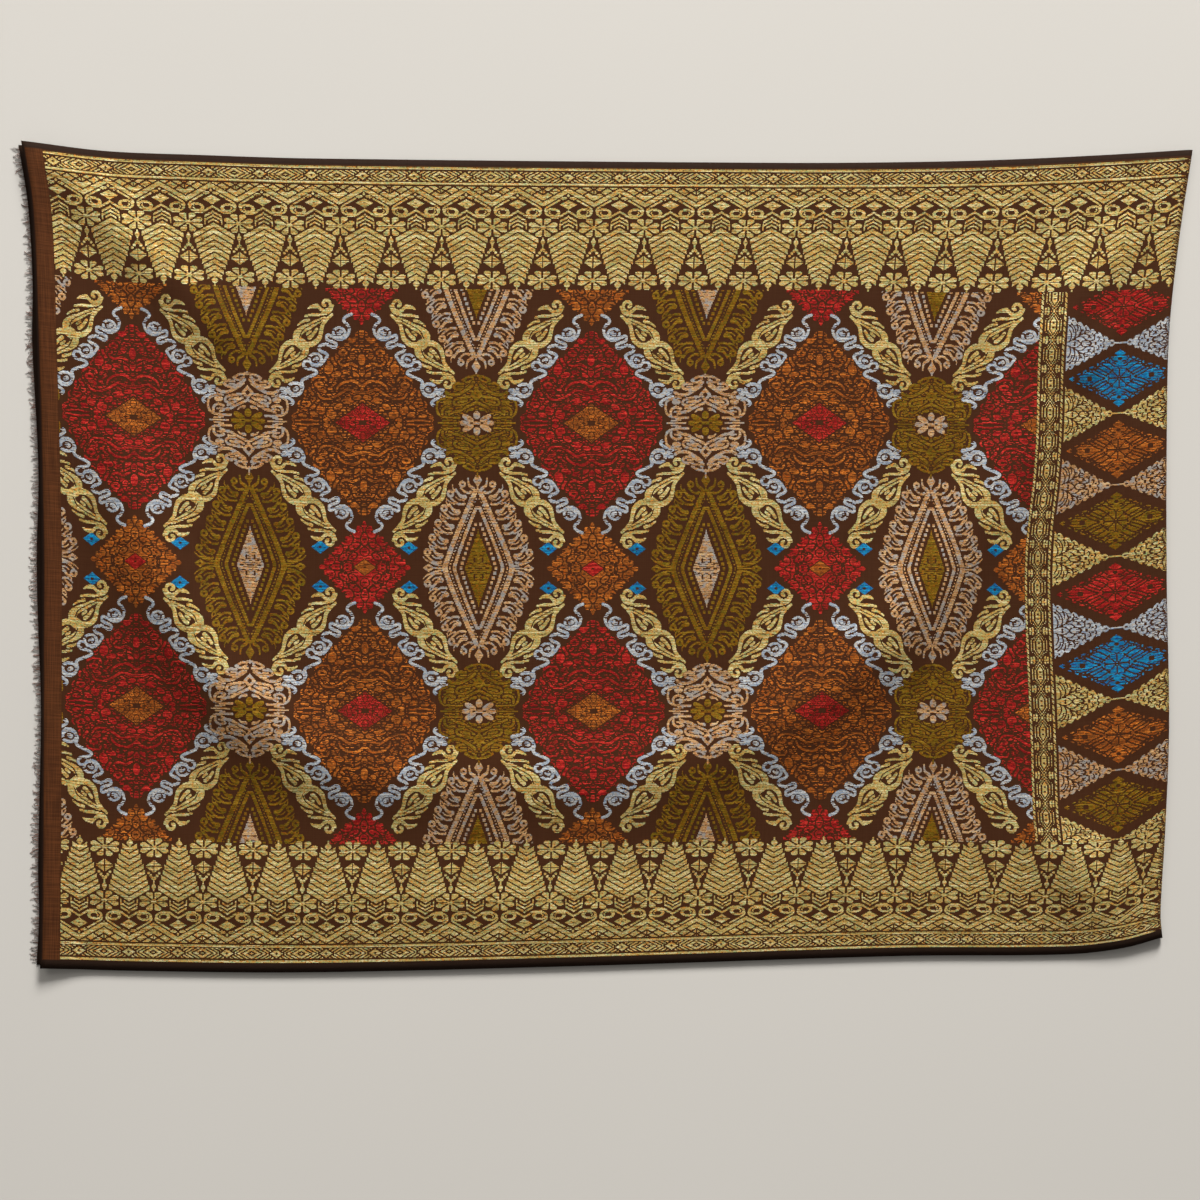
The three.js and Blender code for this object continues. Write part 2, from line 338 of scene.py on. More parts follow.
def plan_point(u, v):
    """Plan place in millimetres, u from the open end to the fold, v from the near edge to the far edge."""
    left = mix(NEAR_LEFT[0], FAR_LEFT[0], v) + along(LEFT_EDGE, v)
    right = mix(NEAR_RIGHT[0], FAR_RIGHT[0], v) + along(RIGHT_EDGE, v)
    near = mix(NEAR_LEFT[1], NEAR_RIGHT[1], u) + along(NEAR_EDGE, u)
    far = mix(FAR_LEFT[1], FAR_RIGHT[1], u) + along(FAR_EDGE, u)
    bow = HEAD_BOW_DEPTH * np.exp(-((u - HEAD_BOW_AT) / HEAD_BOW_SPREAD) ** 2) * 4 * v * (1 - v)
    return mix(left, right, u) - bow, mix(near, far, v)


def swag_crest(x):
    """Crest of the swag at a place along the cloth, and how steeply it climbs there."""
    left = x < SWAG_MIDDLE
    reach, rise, power = (np.where(left, *pair) for pair in (SWAG_REACH, SWAG_RISE, SWAG_POWER))
    out = (x - SWAG_MIDDLE) / reach
    climb = rise * np.abs(out) ** (power - 1)
    return SWAG_LOW + climb * np.abs(out), np.sign(out) * power * climb / reach


def swag_height(x, y):
    """Height that the swag adds at a plan place, by its distance from the nearest place on the crest."""
    near_x = x
    for _ in range(SWAG_ROUNDS):
        crest, slope = swag_crest(near_x)
        near_x = near_x + ((x - near_x) + (y - crest) * slope) / (1 + slope ** 2)
    aside = np.hypot(x - near_x, y - swag_crest(near_x)[0]) / SWAG_WIDTH
    share = np.clip((near_x - SWAG_START) / (SWAG_END - SWAG_START), 0, 1)
    return along(SWAG_HEIGHTS, share) * np.exp(-aside ** 2)


def fold_height(x, y):
    """Height that the soft folds add at a plan place."""
    height = swag_height(x, y)
    for from_x, from_y, to_x, to_y, width, rise in SOFT_FOLDS:
        length = np.hypot(to_x - from_x, to_y - from_y)
        way_x = (to_x - from_x) / length
        way_y = (to_y - from_y) / length
        run = (x - from_x) * way_x + (y - from_y) * way_y
        aside = (y - from_y) * way_x - (x - from_x) * way_y
        past = np.maximum(np.maximum(-run, run - length), 0) / FOLD_END_FADE
        height += rise * np.exp(-(aside ** 2 + past ** 2) / width ** 2)
    return height


def upper_middle(u, v):
    """Middle of the upper layer in millimetres."""
    x, y = plan_point(u, v)
    span = mix(NEAR_RIGHT[0] - NEAR_LEFT[0], FAR_RIGHT[0] - FAR_LEFT[0], v)
    near_fold = np.exp(-(((1 - u) * span) / FOLD_EASE) ** 2)
    height = UPPER_MIDDLE + END_LIFT * np.exp(-((u * span) / END_CURL) ** 2)
    height = height + fold_height(x, y) * (1 - near_fold)
    height = mix(height, FOLD_MIDDLE + FOLD_RADIUS, near_fold)
    return np.stack([x - LOOP_REACH * u, y, height], axis=-1)


def upper_face(u, v):
    """Middle of the upper layer and its outward normal."""
    here = upper_middle(u, v)
    tangent_u = upper_middle(u + FACE_STEP, v) - upper_middle(u - FACE_STEP, v)
    tangent_v = upper_middle(u, v + FACE_STEP) - upper_middle(u, v - FACE_STEP)
    normal = np.cross(tangent_u, tangent_v)
    return here, normal / np.linalg.norm(normal, axis=-1, keepdims=True)


def loop_face(turn, v):
    """Middle of the folded edge and its outward normal, turn from the top, 0, to the underside, pi."""
    x, y = plan_point(np.ones(np.shape(v)), v)
    normal = np.stack([np.sin(turn), np.zeros(np.shape(v)), np.cos(turn)], axis=-1)
    centre = np.stack([x - LOOP_REACH, y, np.full(np.shape(v), FOLD_MIDDLE)], axis=-1)
    return centre + normal * FOLD_RADIUS, normal


def lower_face(u, v):
    """Middle of the lower layer and its outward normal."""
    x, y = plan_point(u, v)
    inset = BACK_INSET * np.minimum(1, (1 - u) * (FAR_RIGHT[0] - FAR_LEFT[0]) / BACK_INSET_EASE)
    x = x - LOOP_REACH * u - along(BACK_REACH, v) * (1 - u)
    y = y + inset * (1 - 2 * v)
    here = np.stack([x, y, np.full(np.shape(x), LOWER_MIDDLE)], axis=-1)
    return here, np.broadcast_to((0.0, 0.0, -1.0), here.shape)


def plan_shift():
    """Plan middle of the solids in millimetres, from their far right and far left corners."""
    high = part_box("folded_cloth")[1]
    return np.array([FAR_RIGHT[0] - high[0] / MM, FAR_LEFT[1] - high[1] / MM, 0.0])


def flat_length():
    """Length of the sheet in metres when it is laid flat."""
    return (2 * FRONT_STEPS * STEP) + np.pi * FOLD_RADIUS * MM


def pattern_drift(u, v):
    """Share of the sheet under a loom place, where pulling has drawn the pattern aside."""
    at_middle = along(MIDDLE_DRIFT, v)
    at_head = along(HEAD_DRIFT, v)
    to_middle = np.clip((u - DRIFT_START) / (MIDDLE_DRIFT_AT - DRIFT_START), 0, 1)
    to_head = np.clip((u - MIDDLE_DRIFT_AT) / (HEAD_DRIFT_AT - MIDDLE_DRIFT_AT), 0, 1)
    down = mix(at_middle * to_middle, at_head, to_head)
    right = along(BAND_DRIFT, v) * np.exp(-((u - BAND_DRIFT_AT) / BAND_DRIFT_SPREAD) ** 2)
    return u + right / FRONT_STEPS, v - down / (2 * HALF_WIDTH)


def face_point(x, y, lift):
    """Place in metres of a loom place in steps, lifted in millimetres off the outer face."""
    u, v = pattern_drift(np.minimum(x / FRONT_STEPS, 1.0), (y + HALF_WIDTH) / (2 * HALF_WIDTH))
    here, normal = upper_face(np.minimum(u, 1.0), v)
    past = x > FRONT_STEPS
    if np.any(past):
        turn = (x[past] - FRONT_STEPS) * STEP / (LOOP_REACH * MM)
        here[past], normal[past] = loop_face(turn, v[past])
    here = here + normal * (SHEET_THICKNESS / 2 + lift)[..., None]
    return (here - plan_shift()) * MM


# Drawing tools of the chart, in steps

def quarter_window(half_x, half_y):
    """Cell middles of a motif that is the same in all four quarters, from its middle lines."""
    across = int(round(half_x / CELL_X))
    up = int(round(half_y / CELL_Y))
    x = (np.arange(-across, across) + 0.5) * CELL_X
    y = (np.arange(-up, up) + 0.5) * CELL_Y
    return np.meshgrid(np.abs(x), np.abs(y))


def oval(x, y, at_x, at_y, half_x, half_y, turn=0.0):
    """1 on the rim of an oval that is turned by some degrees."""
    c = np.cos(np.radians(turn))
    s = np.sin(np.radians(turn))
    a = (x - at_x) * c + (y - at_y) * s
    b = (y - at_y) * c - (x - at_x) * s
    return np.hypot(a / half_x, b / half_y)


def lozenge(x, y, at_x, at_y, half_x, half_y):
    """1 on the rim of a lozenge."""
    return np.abs(x - at_x) / half_x + np.abs(y - at_y) / half_y


def smooth_path(points, cuts=6):
    """Points of a smooth curve through the given ones."""
    p = np.array(points, float)
    p = np.vstack([2 * p[0] - p[1], p, 2 * p[-1] - p[-2]])
    t = np.linspace(0, 1, cuts, endpoint=False)[:, None]
    spans = []
    for a, b, c, d in zip(p, p[1:], p[2:], p[3:]):
        bend = (2 * a - 5 * b + 4 * c - d) * t ** 2 + (3 * b - a - 3 * c + d) * t ** 3
        spans.append(0.5 * (2 * b + (c - a) * t + bend))
    return np.vstack(spans + [p[-2:-1]])


def stroke(x, y, points, width, end_width=None):
    """Distance outside a drawn stroke, negative inside it."""
    path = smooth_path(points) if len(points) > 2 else np.array(points, float)
    end_width = width if end_width is None else end_width
    spans = len(path) - 1
    nearest = np.full(x.shape, 1e9)
    for index in range(spans):
        start = path[index]
        way = path[index + 1] - start
        t = ((x - start[0]) * way[0] + (y - start[1]) * way[1]) / max(way @ way, 1e-9)
        t = np.clip(t, 0, 1)
        half = mix(width, end_width, (index + t) / spans) / 2
        apart = np.hypot(x - start[0] - t * way[0], y - start[1] - t * way[1])
        nearest = np.minimum(nearest, apart - half)
    return nearest


def curl(at_x, at_y, inner, outer, start, sweep, count=16):
    """Points of a spiral from its inner to its outer radius, angles in degrees."""
    t = np.linspace(0, 1, count)
    angle = np.radians(start + sweep * t)
    radius = mix(inner, outer, t)
    return np.stack([at_x + radius * np.cos(angle), at_y + radius * np.sin(angle)], axis=1)


def dashes(x, y, long, gap, pitch):
    """Short floats in staggered rows, as the fill between drawn lines."""
    row = np.floor(y / pitch)
    shift = (row * DASH_SLIP) % (long + gap)
    cell = np.floor((x + shift) / (long + gap))
    kept = ((cell * DASH_SCATTER[0] + row * DASH_SCATTER[1]) % 1.0) < DASH_KEPT
    return kept & ((y % pitch) < pitch * DASH_DEPTH) & (((x + shift) % (long + gap)) < long)


def leaf_fill(x, y, vein):
    """Close rounded leaves with bare veins between them, vein from 0 to 1."""
    across = np.sin(0.46 * x + 2.0 * np.sin(0.26 * y + 0.6))
    up = np.sin(0.86 * y + 2.0 * np.sin(0.19 * x + 1.1))
    return (np.abs(across) > vein) & (np.abs(up) > vein)


def flecks(x, y, share):
    """Scattered thin dashes, where a float dips under a warp thread."""
    row = np.floor(y / CELL_Y)
    cell = np.floor(x / FLECK_LENGTH + 0.5 * (row % 2))
    along_row, up_rows, gain = FLECK_SCATTER
    return (np.sin(along_row * cell + up_rows * row) * gain) % 1.0 < share


def petal_apart(x, y, petal):
    """Distance outside an oval petal, about in steps, from its middle, half sizes and turn."""
    return (oval(x, y, *petal) - 1) * min(petal[2:4])


def outlined(woven, apart, line=1.0):
    """Woven cells with a form laid over them and a bare line round it."""
    return (woven & (apart > line)) | (apart < 0)


def rosette(x, y, at_x, at_y, half_x, half_y, line=0.76):
    """Flower of eight petals with bare lines between them, joined at its heart."""
    a = x - at_x
    b = y - at_y
    radius = np.hypot(a / half_x, b / half_y)
    lobe = np.abs(np.sin(4 * np.arctan2(b / half_y, a / half_x)))
    slant = np.abs(np.abs(a) * half_y - np.abs(b) * half_x) / np.hypot(half_x, half_y)
    apart = np.minimum(np.minimum(np.abs(a), np.abs(b)), slant)
    return (radius < 0.60 + 0.42 * lobe ** 0.6) & ((apart > line) | (radius < 0.2))


# Motifs of the chart, in steps

def border_repeat():
    """Gold border, one repeat: lines and chain at the selvedge, zigzag, hooks, then leaves and flowers."""
    half = BORDER_PITCH / 2
    across = int(round(half / CELL_X))
    deep = int(round(BORDER_DEPTH / CELL_Y))
    x = (np.arange(-across, across) + 0.5) * half / across
    x, p = np.meshgrid(x, (np.arange(deep) + 0.5) * CELL_Y)
    leaf_x = np.abs(x)
    flower_x = half - leaf_x
    woven = (p < 2.5) | ((p > 15.2) & (p < 17.9))
    woven |= border_chain(leaf_x, flower_x, np.abs(p - 9.2))
    woven |= border_zigzag(leaf_x, flower_x, p, half)
    woven |= border_hooks(leaf_x, p)
    woven |= border_leaf(leaf_x, p)
    woven |= border_flowers(flower_x, p)
    return woven


def border_chain(leaf_x, flower_x, q):
    """Chain of eyed diamonds with slanted strokes and small diamonds between them, q from its middle line."""
    ring = lozenge(flower_x, q, 0, 0, 9.8, 5.6)
    woven = (ring < 0.2) | ((ring > 0.5) & (ring < 0.96))
    slant = flower_x + 1.75 * q
    small = lozenge(leaf_x, q, 0, 0, 6.4, 4.2)
    woven |= (slant > 11.6) & ((slant - 11.6) % 5.2 < 3.0) & (q < 5.3) & (small > 1.4)
    return woven | ((small < 1) & (small > 0.26))


def border_zigzag(leaf_x, flower_x, p, half):
    """Zigzag band with a fan of petals in each valley and a diamond under each peak."""
    above = p - (19.8 + 14.4 * leaf_x / half)
    woven = (above > 0) & (above < 4.8)
    slant = p - 0.58 * flower_x
    fan = (above < -1.4) & (p > 18.9) & ((flower_x > 0.6) | (above > -7.0))
    fan &= (np.abs(above + 7.4) > 0.85) & (np.abs(above + 13.0) > 0.85)
    fan &= (np.abs(slant - 20.8) > 0.8) & (np.abs(slant - 11.5) > 0.8)
    woven |= fan
    woven |= lozenge(leaf_x, p, 0, 27.4, 1.8, 1.8) < 1
    woven |= oval(leaf_x, p, 4.6, 30.2, 3.4, 1.4, 6) < 1
    diamond = lozenge(leaf_x, p, 0, 36.6, 8.6, 4.8)
    return woven | ((diamond < 1) & (diamond > 0.14))


def border_hooks(leaf_x, p):
    """Pair of hooks that carry the leaf, each curled round an eye."""
    wave = ((0, 43.4), (4, 45.6), (8, 48.2), (12.4, 49.6), (17, 49.2))
    stem = ((22.8, 42.6), (21.6, 40.0), (16, 36.4), (10, 32.9), (8.6, 32.2))
    woven = stroke(leaf_x, p, wave, 2.2) < 0
    woven |= stroke(leaf_x, p, stem, 2.0) < 0
    eye = oval(leaf_x, p, 15.6, 44.6, 7.9, 4.6) < 1
    eye &= oval(leaf_x, p, 14.6, 44.4, 3.2, 2.0) > 1
    eye &= stroke(leaf_x, p, ((15.0, 42.6), (18.4, 42.6), (20.0, 44.8), (18.2, 47.0)), 0.9) > 0
    return woven | eye


def border_leaf(leaf_x, p):
    """Leaf of chevron stripes with rounded sides, a crown below it and a finial at its tip."""
    chevron = p - 0.58 * leaf_x
    woven = (np.abs(chevron - 48.6) < 1.2) & (leaf_x < 8.6)
    woven |= (np.abs(chevron - 52.4) < 1.0) & (leaf_x < 8.6)
    woven |= (np.abs(chevron - 56.2) < 1.0) & (leaf_x < 5.6)
    woven |= (np.abs(leaf_x - 8.3) < 0.8) & (p > 55.5) & (p < 61.5)
    stripe = np.floor((chevron - 59.2) / 6.0)
    in_stripe = ((chevron - 59.2) % 6.0) < 4.6
    half_width = 20.2 - 1.4 * stripe - 0.025 * stripe ** 2
    woven |= in_stripe & (stripe >= 0) & (stripe < 9) & (leaf_x < half_width)
    woven |= oval(leaf_x, p, 0, 116.6, 3.3, 2.9) < 1
    return woven | ((leaf_x < 0.8) & (p > 112) & (p < 122.4))


def border_flowers(flower_x, p):
    """Flower, spearhead, crossed diamond and second flower between two leaves."""
    woven = rosette(flower_x, p, 0, 59.6, 15.2, 9.9)
    woven |= oval(flower_x, p, 0, 74, 2.3, 3.6) < 1
    woven |= (flower_x < 0.9) & (p > 69.5) & (p < 83)
    for at_x, at_y in ((1.4, 82.4), (3.4, 85.0), (5.6, 87.6)):
        woven |= oval(flower_x, p, at_x, at_y, 1.6, 1.5) < 1
    crossed = lozenge(flower_x, p, 0, 94.0, 9.4, 6.6) < 1
    woven |= crossed & (flower_x > 0.6) & (np.abs(p - 94.0) > 0.5)
    return woven | rosette(flower_x, p, 0, 112.4, 15.2, 9.9)


def large_diamond(main, heart):
    """Large scrolled diamond, the same in all four quarters, with a lozenge of another yarn in it."""
    x, y = quarter_window(76, 97)
    rim = (x / 71) ** 1.27 + (y / 91) ** 1.27
    along_edge = (x * 92 - y * 71) / 116
    rim = rim - 0.03 * np.cos(2 * np.pi * along_edge / 13.0)
    petals = (
        (31, 8.2, 5.2, 5.0, 0), (41.5, 12.4, 4.6, 4.8, 0),
        (14.6, 21.4, 6.6, 3.2, -10), (5, 24.6, 4.6, 2.4, -8),
        (24.2, 15.4, 4.8, 3.0, -35), (36, 2.4, 3.6, 2.2, 0), (48.5, 8, 4.6, 2.4, 20), (50, 16, 3.4, 3.0, 0),
        (0, 62.5, 3.8, 5.8, 0), (0, 50, 3.2, 4.2, 0), (7, 47.6, 4.8, 2.2, 30), (15.5, 49.6, 5.0, 2.2, 10),
        (25.5, 47.5, 5.2, 2.8, -12), (33, 53, 4.6, 5.6, 20), (8.6, 83, 6.2, 3.8, -38), (0, 88.6, 2.6, 5.0, 0),
        (9, 65, 3.0, 2.0, 30), (40, 31.6, 5.0, 2.2, 20), (36, 18, 4.2, 1.8, -20), (60, 6.4, 4.4, 2.2, 12),
    )
    strokes = (
        (
            ((1, 29.6), (7, 30.4), (14, 33), (20, 29.6), (27, 25.2), (34.5, 23), (41, 24.4), (44.5, 28.2)),
            3.0, 2.2,
        ),
        (((0.6, 35.4), (4, 38.8), (10, 41.2), (17.5, 39.8), (23.5, 36), (25.6, 31.4)), 3.4, 2.2),
        (((49.5, 28), (53, 33), (51.5, 39.6), (45, 44.8), (38.5, 45), (35.5, 41.5)), 3.0, 2.4),
        (((26, 57), (29.5, 63), (27.5, 71), (20.5, 77), (13, 77)), 3.0, 2.4),
        (((5, 55.5), (11, 58), (18.5, 56.4), (23, 60), (20, 63)), 2.6, 2.0),
        (((56, 12.5), (62, 14.5), (64, 19), (60.5, 23.4), (55, 23)), 2.8, 2.0),
        (((44, 2.4), (50, 2.2), (56, 2.6), (67, 1.6)), 2.4, 1.8),
        (((2, 71), (6.5, 73.4), (10, 71)), 2.2, 2.0),
    )
    body = leaf_fill(1.1 * x, 1.2 * y, 0.34) & ~flecks(x, y, 0.34)
    body |= (rim > 0.94) & dashes(x, y, 3.4, 1.0, 2.4)
    for petal in petals:
        body = outlined(body, petal_apart(x, y, petal), 0.8)
    for at_x, at_y in ((43, 37.2), (18.6, 69), (56, 18.4)):
        ring = oval(x, y, at_x, at_y, 4.8, 3.6)
        body = outlined(body, 3.6 * np.maximum(ring - 1, 0.36 - ring))
    for points, width, end_width in strokes:
        body = outlined(body, stroke(x, y, points, width, end_width), 1.2)
    inner = lozenge(x, y, 0, 0, 27.5, 19)
    body &= (rim < 1) & (inner > 1.07) & ~flecks(x + 1.7, y, 0.14)
    core = (inner < 1) & leaf_fill(1.3 * x, 1.2 * y, 0.13) & ~flecks(x + 1.1, y, 0.08)
    return [(body, main), (core, heart)]


def small_medallion(main, heart):
    """Scalloped medallion with four points, a wavy bare ring and a small lozenge of another yarn."""
    x, y = quarter_window(48, 48)
    angle = np.arctan2(y, x)
    radius = np.hypot(x, y)
    rim = (x / 45) ** 1.1 + (y / 44.5) ** 1.1 - 0.035 * np.cos(2 * np.pi * (x - y) / 11)
    body = rim < 1
    petals = (
        (7, 35, 5.4, 6.4, 0), (18, 27.4, 6.4, 6.0, 0), (28, 17.6, 6.4, 6.2, 0), (36.4, 7, 6.2, 5.6, 0),
        (0, 27.4, 3.4, 6.0, 0), (28, 0, 6.4, 3.2, 0), (10.4, 20, 6.0, 3.4, -30), (20.4, 9.4, 5.6, 3.6, -30),
        (0, 15.4, 4.2, 4.0, 0), (12, 10.4, 4.6, 2.6, -38), (17, 1.6, 4.4, 2.4, 0),
    )
    for petal in petals:
        body = outlined(body, petal_apart(x, y, petal), 0.9)
        body &= oval(x, y, petal[0] + 0.8, petal[1], 1.5, 0.8, petal[4]) > 1
    wave = 22.5 + 2.2 * np.cos(8 * angle)
    body &= (np.abs(radius - wave) > 0.6) | (np.abs(np.sin(6 * angle + 0.5)) < 0.4)
    body &= (rim < 1) & ~flecks(x, y, 0.1)
    core = lozenge(x, y, 0, 0, 11, 8)
    return [(body & (core > 1.10), main), ((core < 1) & (core > 0.14), heart)]


def tall_oval(main, heart):
    """Tall pointed oval: two stepped lines, a row of dots, a fringe of curled leaves, and a narrow heart."""
    x, y = quarter_window(60, 97)
    stair = np.floor(y / 2.4) * 2.4
    outer = 33.5 * (1 - (stair / 79) ** 1.12)
    inner = 24.0 * (1 - (stair / 62) ** 1.12)
    dots = 17.6 * (1 - (np.round(y / 4.8) * 4.8 / 50) ** 1.1)
    woven = (np.abs(x - outer) < 2.8) & (y < 78)
    woven |= (np.abs(x - inner) < 1.9) & (y < 61)
    woven |= (np.abs(x - dots) < 1.6) & (np.abs((y + 2.4) % 4.8 - 2.4) < 1.3) & (y < 46)
    woven |= (np.abs(x - mix(outer, inner, 0.5)) < 0.9) & ((y % 3.2) < 1.7) & (y < 70)
    for leaf in range(5):
        woven |= curled_leaf(x, y, leaf)
    woven |= stroke(x, y, ((36, 2.2), (43, 3.4), (52, 7.0)), 2.0, 1.4) < 0
    spear = lozenge(x, y, 50, 0, 6.0, 4.4)
    woven |= (spear < 1) & (spear > 0.22)
    woven |= (y < 0.9) & (x > 36) & (x < 46)
    woven |= (x < 0.9) & (y > 74) & (y < 94)
    woven |= lozenge(x, y, 0, 86.5, 4.8, 7.4) < 1
    woven |= stroke(x, y, ((4, 78), (8.5, 81.5), (9.5, 88)), 3.8, 1.8) < 0
    woven |= stroke(x, y, ((6.5, 74.5), (12, 74.5), (17, 78.5)), 2.6, 2.0) < 0
    bud = np.hypot(x - 15.2, y - 82.4)
    woven |= (bud < 3.7) & (bud > 1.1)
    core = x / 13.4 + stair / 37 < 1
    spots = flecks(x, y, 0.12) | (oval(x, y, 0, 0, 1.2, 1.0) < 1) | (oval(x, y, 4.2, 8.4, 0.9, 2.0) < 1)
    return [(woven & (x / 15.4 + stair / 40 > 1), main), (core & ~spots, heart)]


def curled_leaf(x, y, leaf):
    """One curled leaf of the oval's fringe, counted from the side."""
    rise = 2.0 + 14.4 * leaf
    side = 33.5 * (1 - (rise / 79) ** 1.12) + 3.8
    x = x - side
    y = y - rise
    ring = np.hypot(x - 14.4, y - 13.4)
    woven = (ring < 4.0) & (ring > 1.1)
    woven |= stroke(x, y, ((0.5, 3.6), (7, 3.6), (14.5, 9.4)), 2.5, 2.1) < 0
    woven |= stroke(x, y, ((0.0, 10.0), (5, 11.8), (9, 17.5)), 4.6, 2.2) < 0
    woven |= stroke(x, y, ((1, 7.0), (7, 8.2), (9.5, 10.6)), 1.8, 1.4) < 0
    woven |= stroke(x, y, ((10.5, 3.6), (15, 5.4), (18.6, 8.6)), 2.1, 1.2) < 0
    return woven | (stroke(x, y, ((9.5, 15.5), (12, 19), (12, 22)), 2.0, 1.2) < 0)


def lace_medallion(main, heart, close):
    """Six-sided medallion of curled strokes with a flower in it, open as lace or close."""
    x, y = quarter_window(44, 54)
    strokes = (
        (((0, 52.5), (0, 46)), 1.8),
        (((1.5, 46.6), (8, 45.4), (13.6, 42.2), (8, 40.4), (3.4, 43.4)), 2.2),
        (((2.4, 40.4), (8, 36.6), (14, 33.2), (19, 33.4), (22.8, 35.6), (20, 38.8), (13, 38.8)), 2.5),
        (((4, 37.4), (11, 32.2), (18, 28.6), (25, 27.8), (30.5, 30.4)), 2.9),
        (((6.4, 26), (14, 25), (21, 23), (22.4, 18.8), (16.6, 17.2), (10.4, 19.8), (5, 23)), 2.4),
        (((9.5, 22.4), (18, 20.6)), 2.2),
        (((31.5, 24.6), (36, 23), (39.2, 19.6), (39.2, 11), (35, 6.8), (27, 5.4), (17, 5.2)), 2.3),
        (((34.4, 8.8), (34, 13), (29.6, 15.8), (24.5, 14.2)), 2.5),
        (((27.6, 8.6), (22.6, 10.8), (17.4, 11.8), (12, 14.8), (5.5, 18), (0, 20.6)), 2.5),
        (((10, 9.8), (8.4, 12.6), (3, 14.2), (7, 10.2)), 1.9),
        (((13, 36.2), (18, 36)), 1.6),
        (((24.5, 24.8), (30, 25.8)), 1.8),
        (((20.4, 14.8), (14.6, 15.6)), 1.5),
        (((30.8, 11), (25.6, 12)), 1.7),
        (((20, 0), (38, 0)), 1.5),
        (((25, 3.2), (34, 2.2)), 1.5),
    )
    woven = oval(x, y, 29, 21, 4.6, 2.9) < 1
    if close:
        woven |= leaf_fill(1.2 * x, 1.15 * y, 0.3) & (y < 44 - 0.5 * x) & (x < 37) & ~flecks(x, y, 0.12)
    for points, width in strokes:
        woven = outlined(woven, stroke(x, y, points, width + 0.4), 0.7 if close else 0.0)
    ring = lozenge(x, y, 0, 28, 6.6, 7.4)
    woven |= (ring < 1) & (ring > 0.38)
    flower = oval(x, y, 0, 7.8, 3.6, 4.2) < 1
    flower |= oval(x, y, 8.8, 4.8, 6.6, 2.9, 28) < 1
    flower |= oval(x, y, 12.0, 0.5, 5.4, 1.7, 5) < 1
    flower |= oval(x, y, 0, 0, 4.2, 2.0) < 1
    return [(woven & (oval(x, y, 0, 0, 17.5, 12.6) > 1), main), (flower, heart)]


def lattice_quarter():
    """Cell middles of a quarter repeat, from a small medallion's middle to a lace medallion's."""
    x = (np.arange(int(round(COLUMN_PITCH / CELL_X))) + 0.5) * CELL_X
    y = (np.arange(int(round(ROW_RISE / CELL_Y))) + 0.5) * CELL_Y
    return np.meshgrid(x, y)


def gold_scroll():
    """Leafy scroll with a curl at both ends, the same when turned half round."""
    x, y = lattice_quarter()
    woven = np.zeros(x.shape, bool)
    strokes = (
        (curl(-24.6, -37.6, 1.4, 7.2, 60, -400), 3.4, 3.4),
        (((-31.5, -36), (-28.5, -30.5), (-20, -27.8), (-11, -27.4), (-4.5, -26)), 3.6, 2.2),
        (((-16, -36), (-11, -35.2), (-7.5, -33.4)), 4.4, 1.8),
        (((-8, -22.6), (-2, -20.8), (2.6, -17.6)), 3.4, 1.8),
        (((-31, -27.5), (-26, -23), (-21.5, -17), (-20, -10), (-17.5, -4), (-11, 0.5), (-3, 1)), 2.8, 6.0),
        (((-24, -24), (-16, -20.6), (-9, -16.6), (-1.5, -13), (3.4, -8.6), (3.2, -2.4), (0, 0)), 3.8, 10.4),
        (((-15.8, -13.5), (-12.5, -8.8), (-8.6, -5.4)), 3.2, 4.2),
        (((-9.6, -11.6), (-6.2, -9.0)), 3.0, 2.6),
    )
    midrib = ((-21, -22.6), (-10, -17.4), (-2, -12.2), (1.4, -5))
    for side in (1, -1):
        a = (x - 60.5) * side
        b = (y - 64.5) * side / 1.04
        half = np.zeros(x.shape, bool)
        for points, width, end_width in strokes:
            half |= stroke(a, b, points, width, end_width) < 0
        woven |= half & (stroke(a, b, midrib, 0.8) > 0)
    return woven


def silver_ribbon():
    """Ribbon that wavers down beside the large diamond, with three ring knots."""
    x, y = lattice_quarter()
    path = (
        (10, 35), (15.5, 37.6), (18, 41.6), (14, 45.6), (12.2, 50), (14.5, 56.6), (21.5, 60.4), (29, 57.6),
        (34, 56), (34.4, 60.4), (25.6, 64.4), (27.4, 68.4), (35, 65.2), (41.6, 67), (42, 71.2), (34.6, 75),
        (36.2, 79.6), (41.4, 85.4), (48.6, 86), (53, 81.2), (58.2, 84.2), (56.2, 88.6), (47.6, 90.6),
        (45.4, 94), (52.6, 97.6), (60, 101.6), (59.2, 108), (62.6, 114.6), (70.4, 116), (76, 110.2),
        (81.6, 110.4), (76.2, 114.2), (82, 117), (73.2, 119), (69, 123), (72.2, 125.6),
    )
    woven = stroke(x, y, path, 3.2) < 0
    for at_x, at_y, half_x, half_y in ((22.4, 53.4, 6.8, 5.6), (46.2, 80, 7.2, 6.2), (66.8, 109.4, 8.0, 6.6)):
        knot = oval(x, y, at_x, at_y, half_x, half_y)
        slit = (np.abs(y - at_y + 0.4 * (x - at_x)) < 0.9) & (x > at_x)
        woven |= (knot < 1.08) & (knot > 0.62) & ~slit
        woven |= oval(x, y, at_x - 0.6, at_y + 0.3, 3.4, 2.3, 20) < 1
    return woven & ~flecks(x, y, 0.08)


def blue_spot():
    """Small blue diamond beside a medallion of the middle row."""
    x, y = lattice_quarter()
    return (lozenge(x, y, 44.5, 19.5, 9.0, 6.6) < 1) & (oval(x, y, 44.5, 19.5, 1.3, 1.5) > 1)


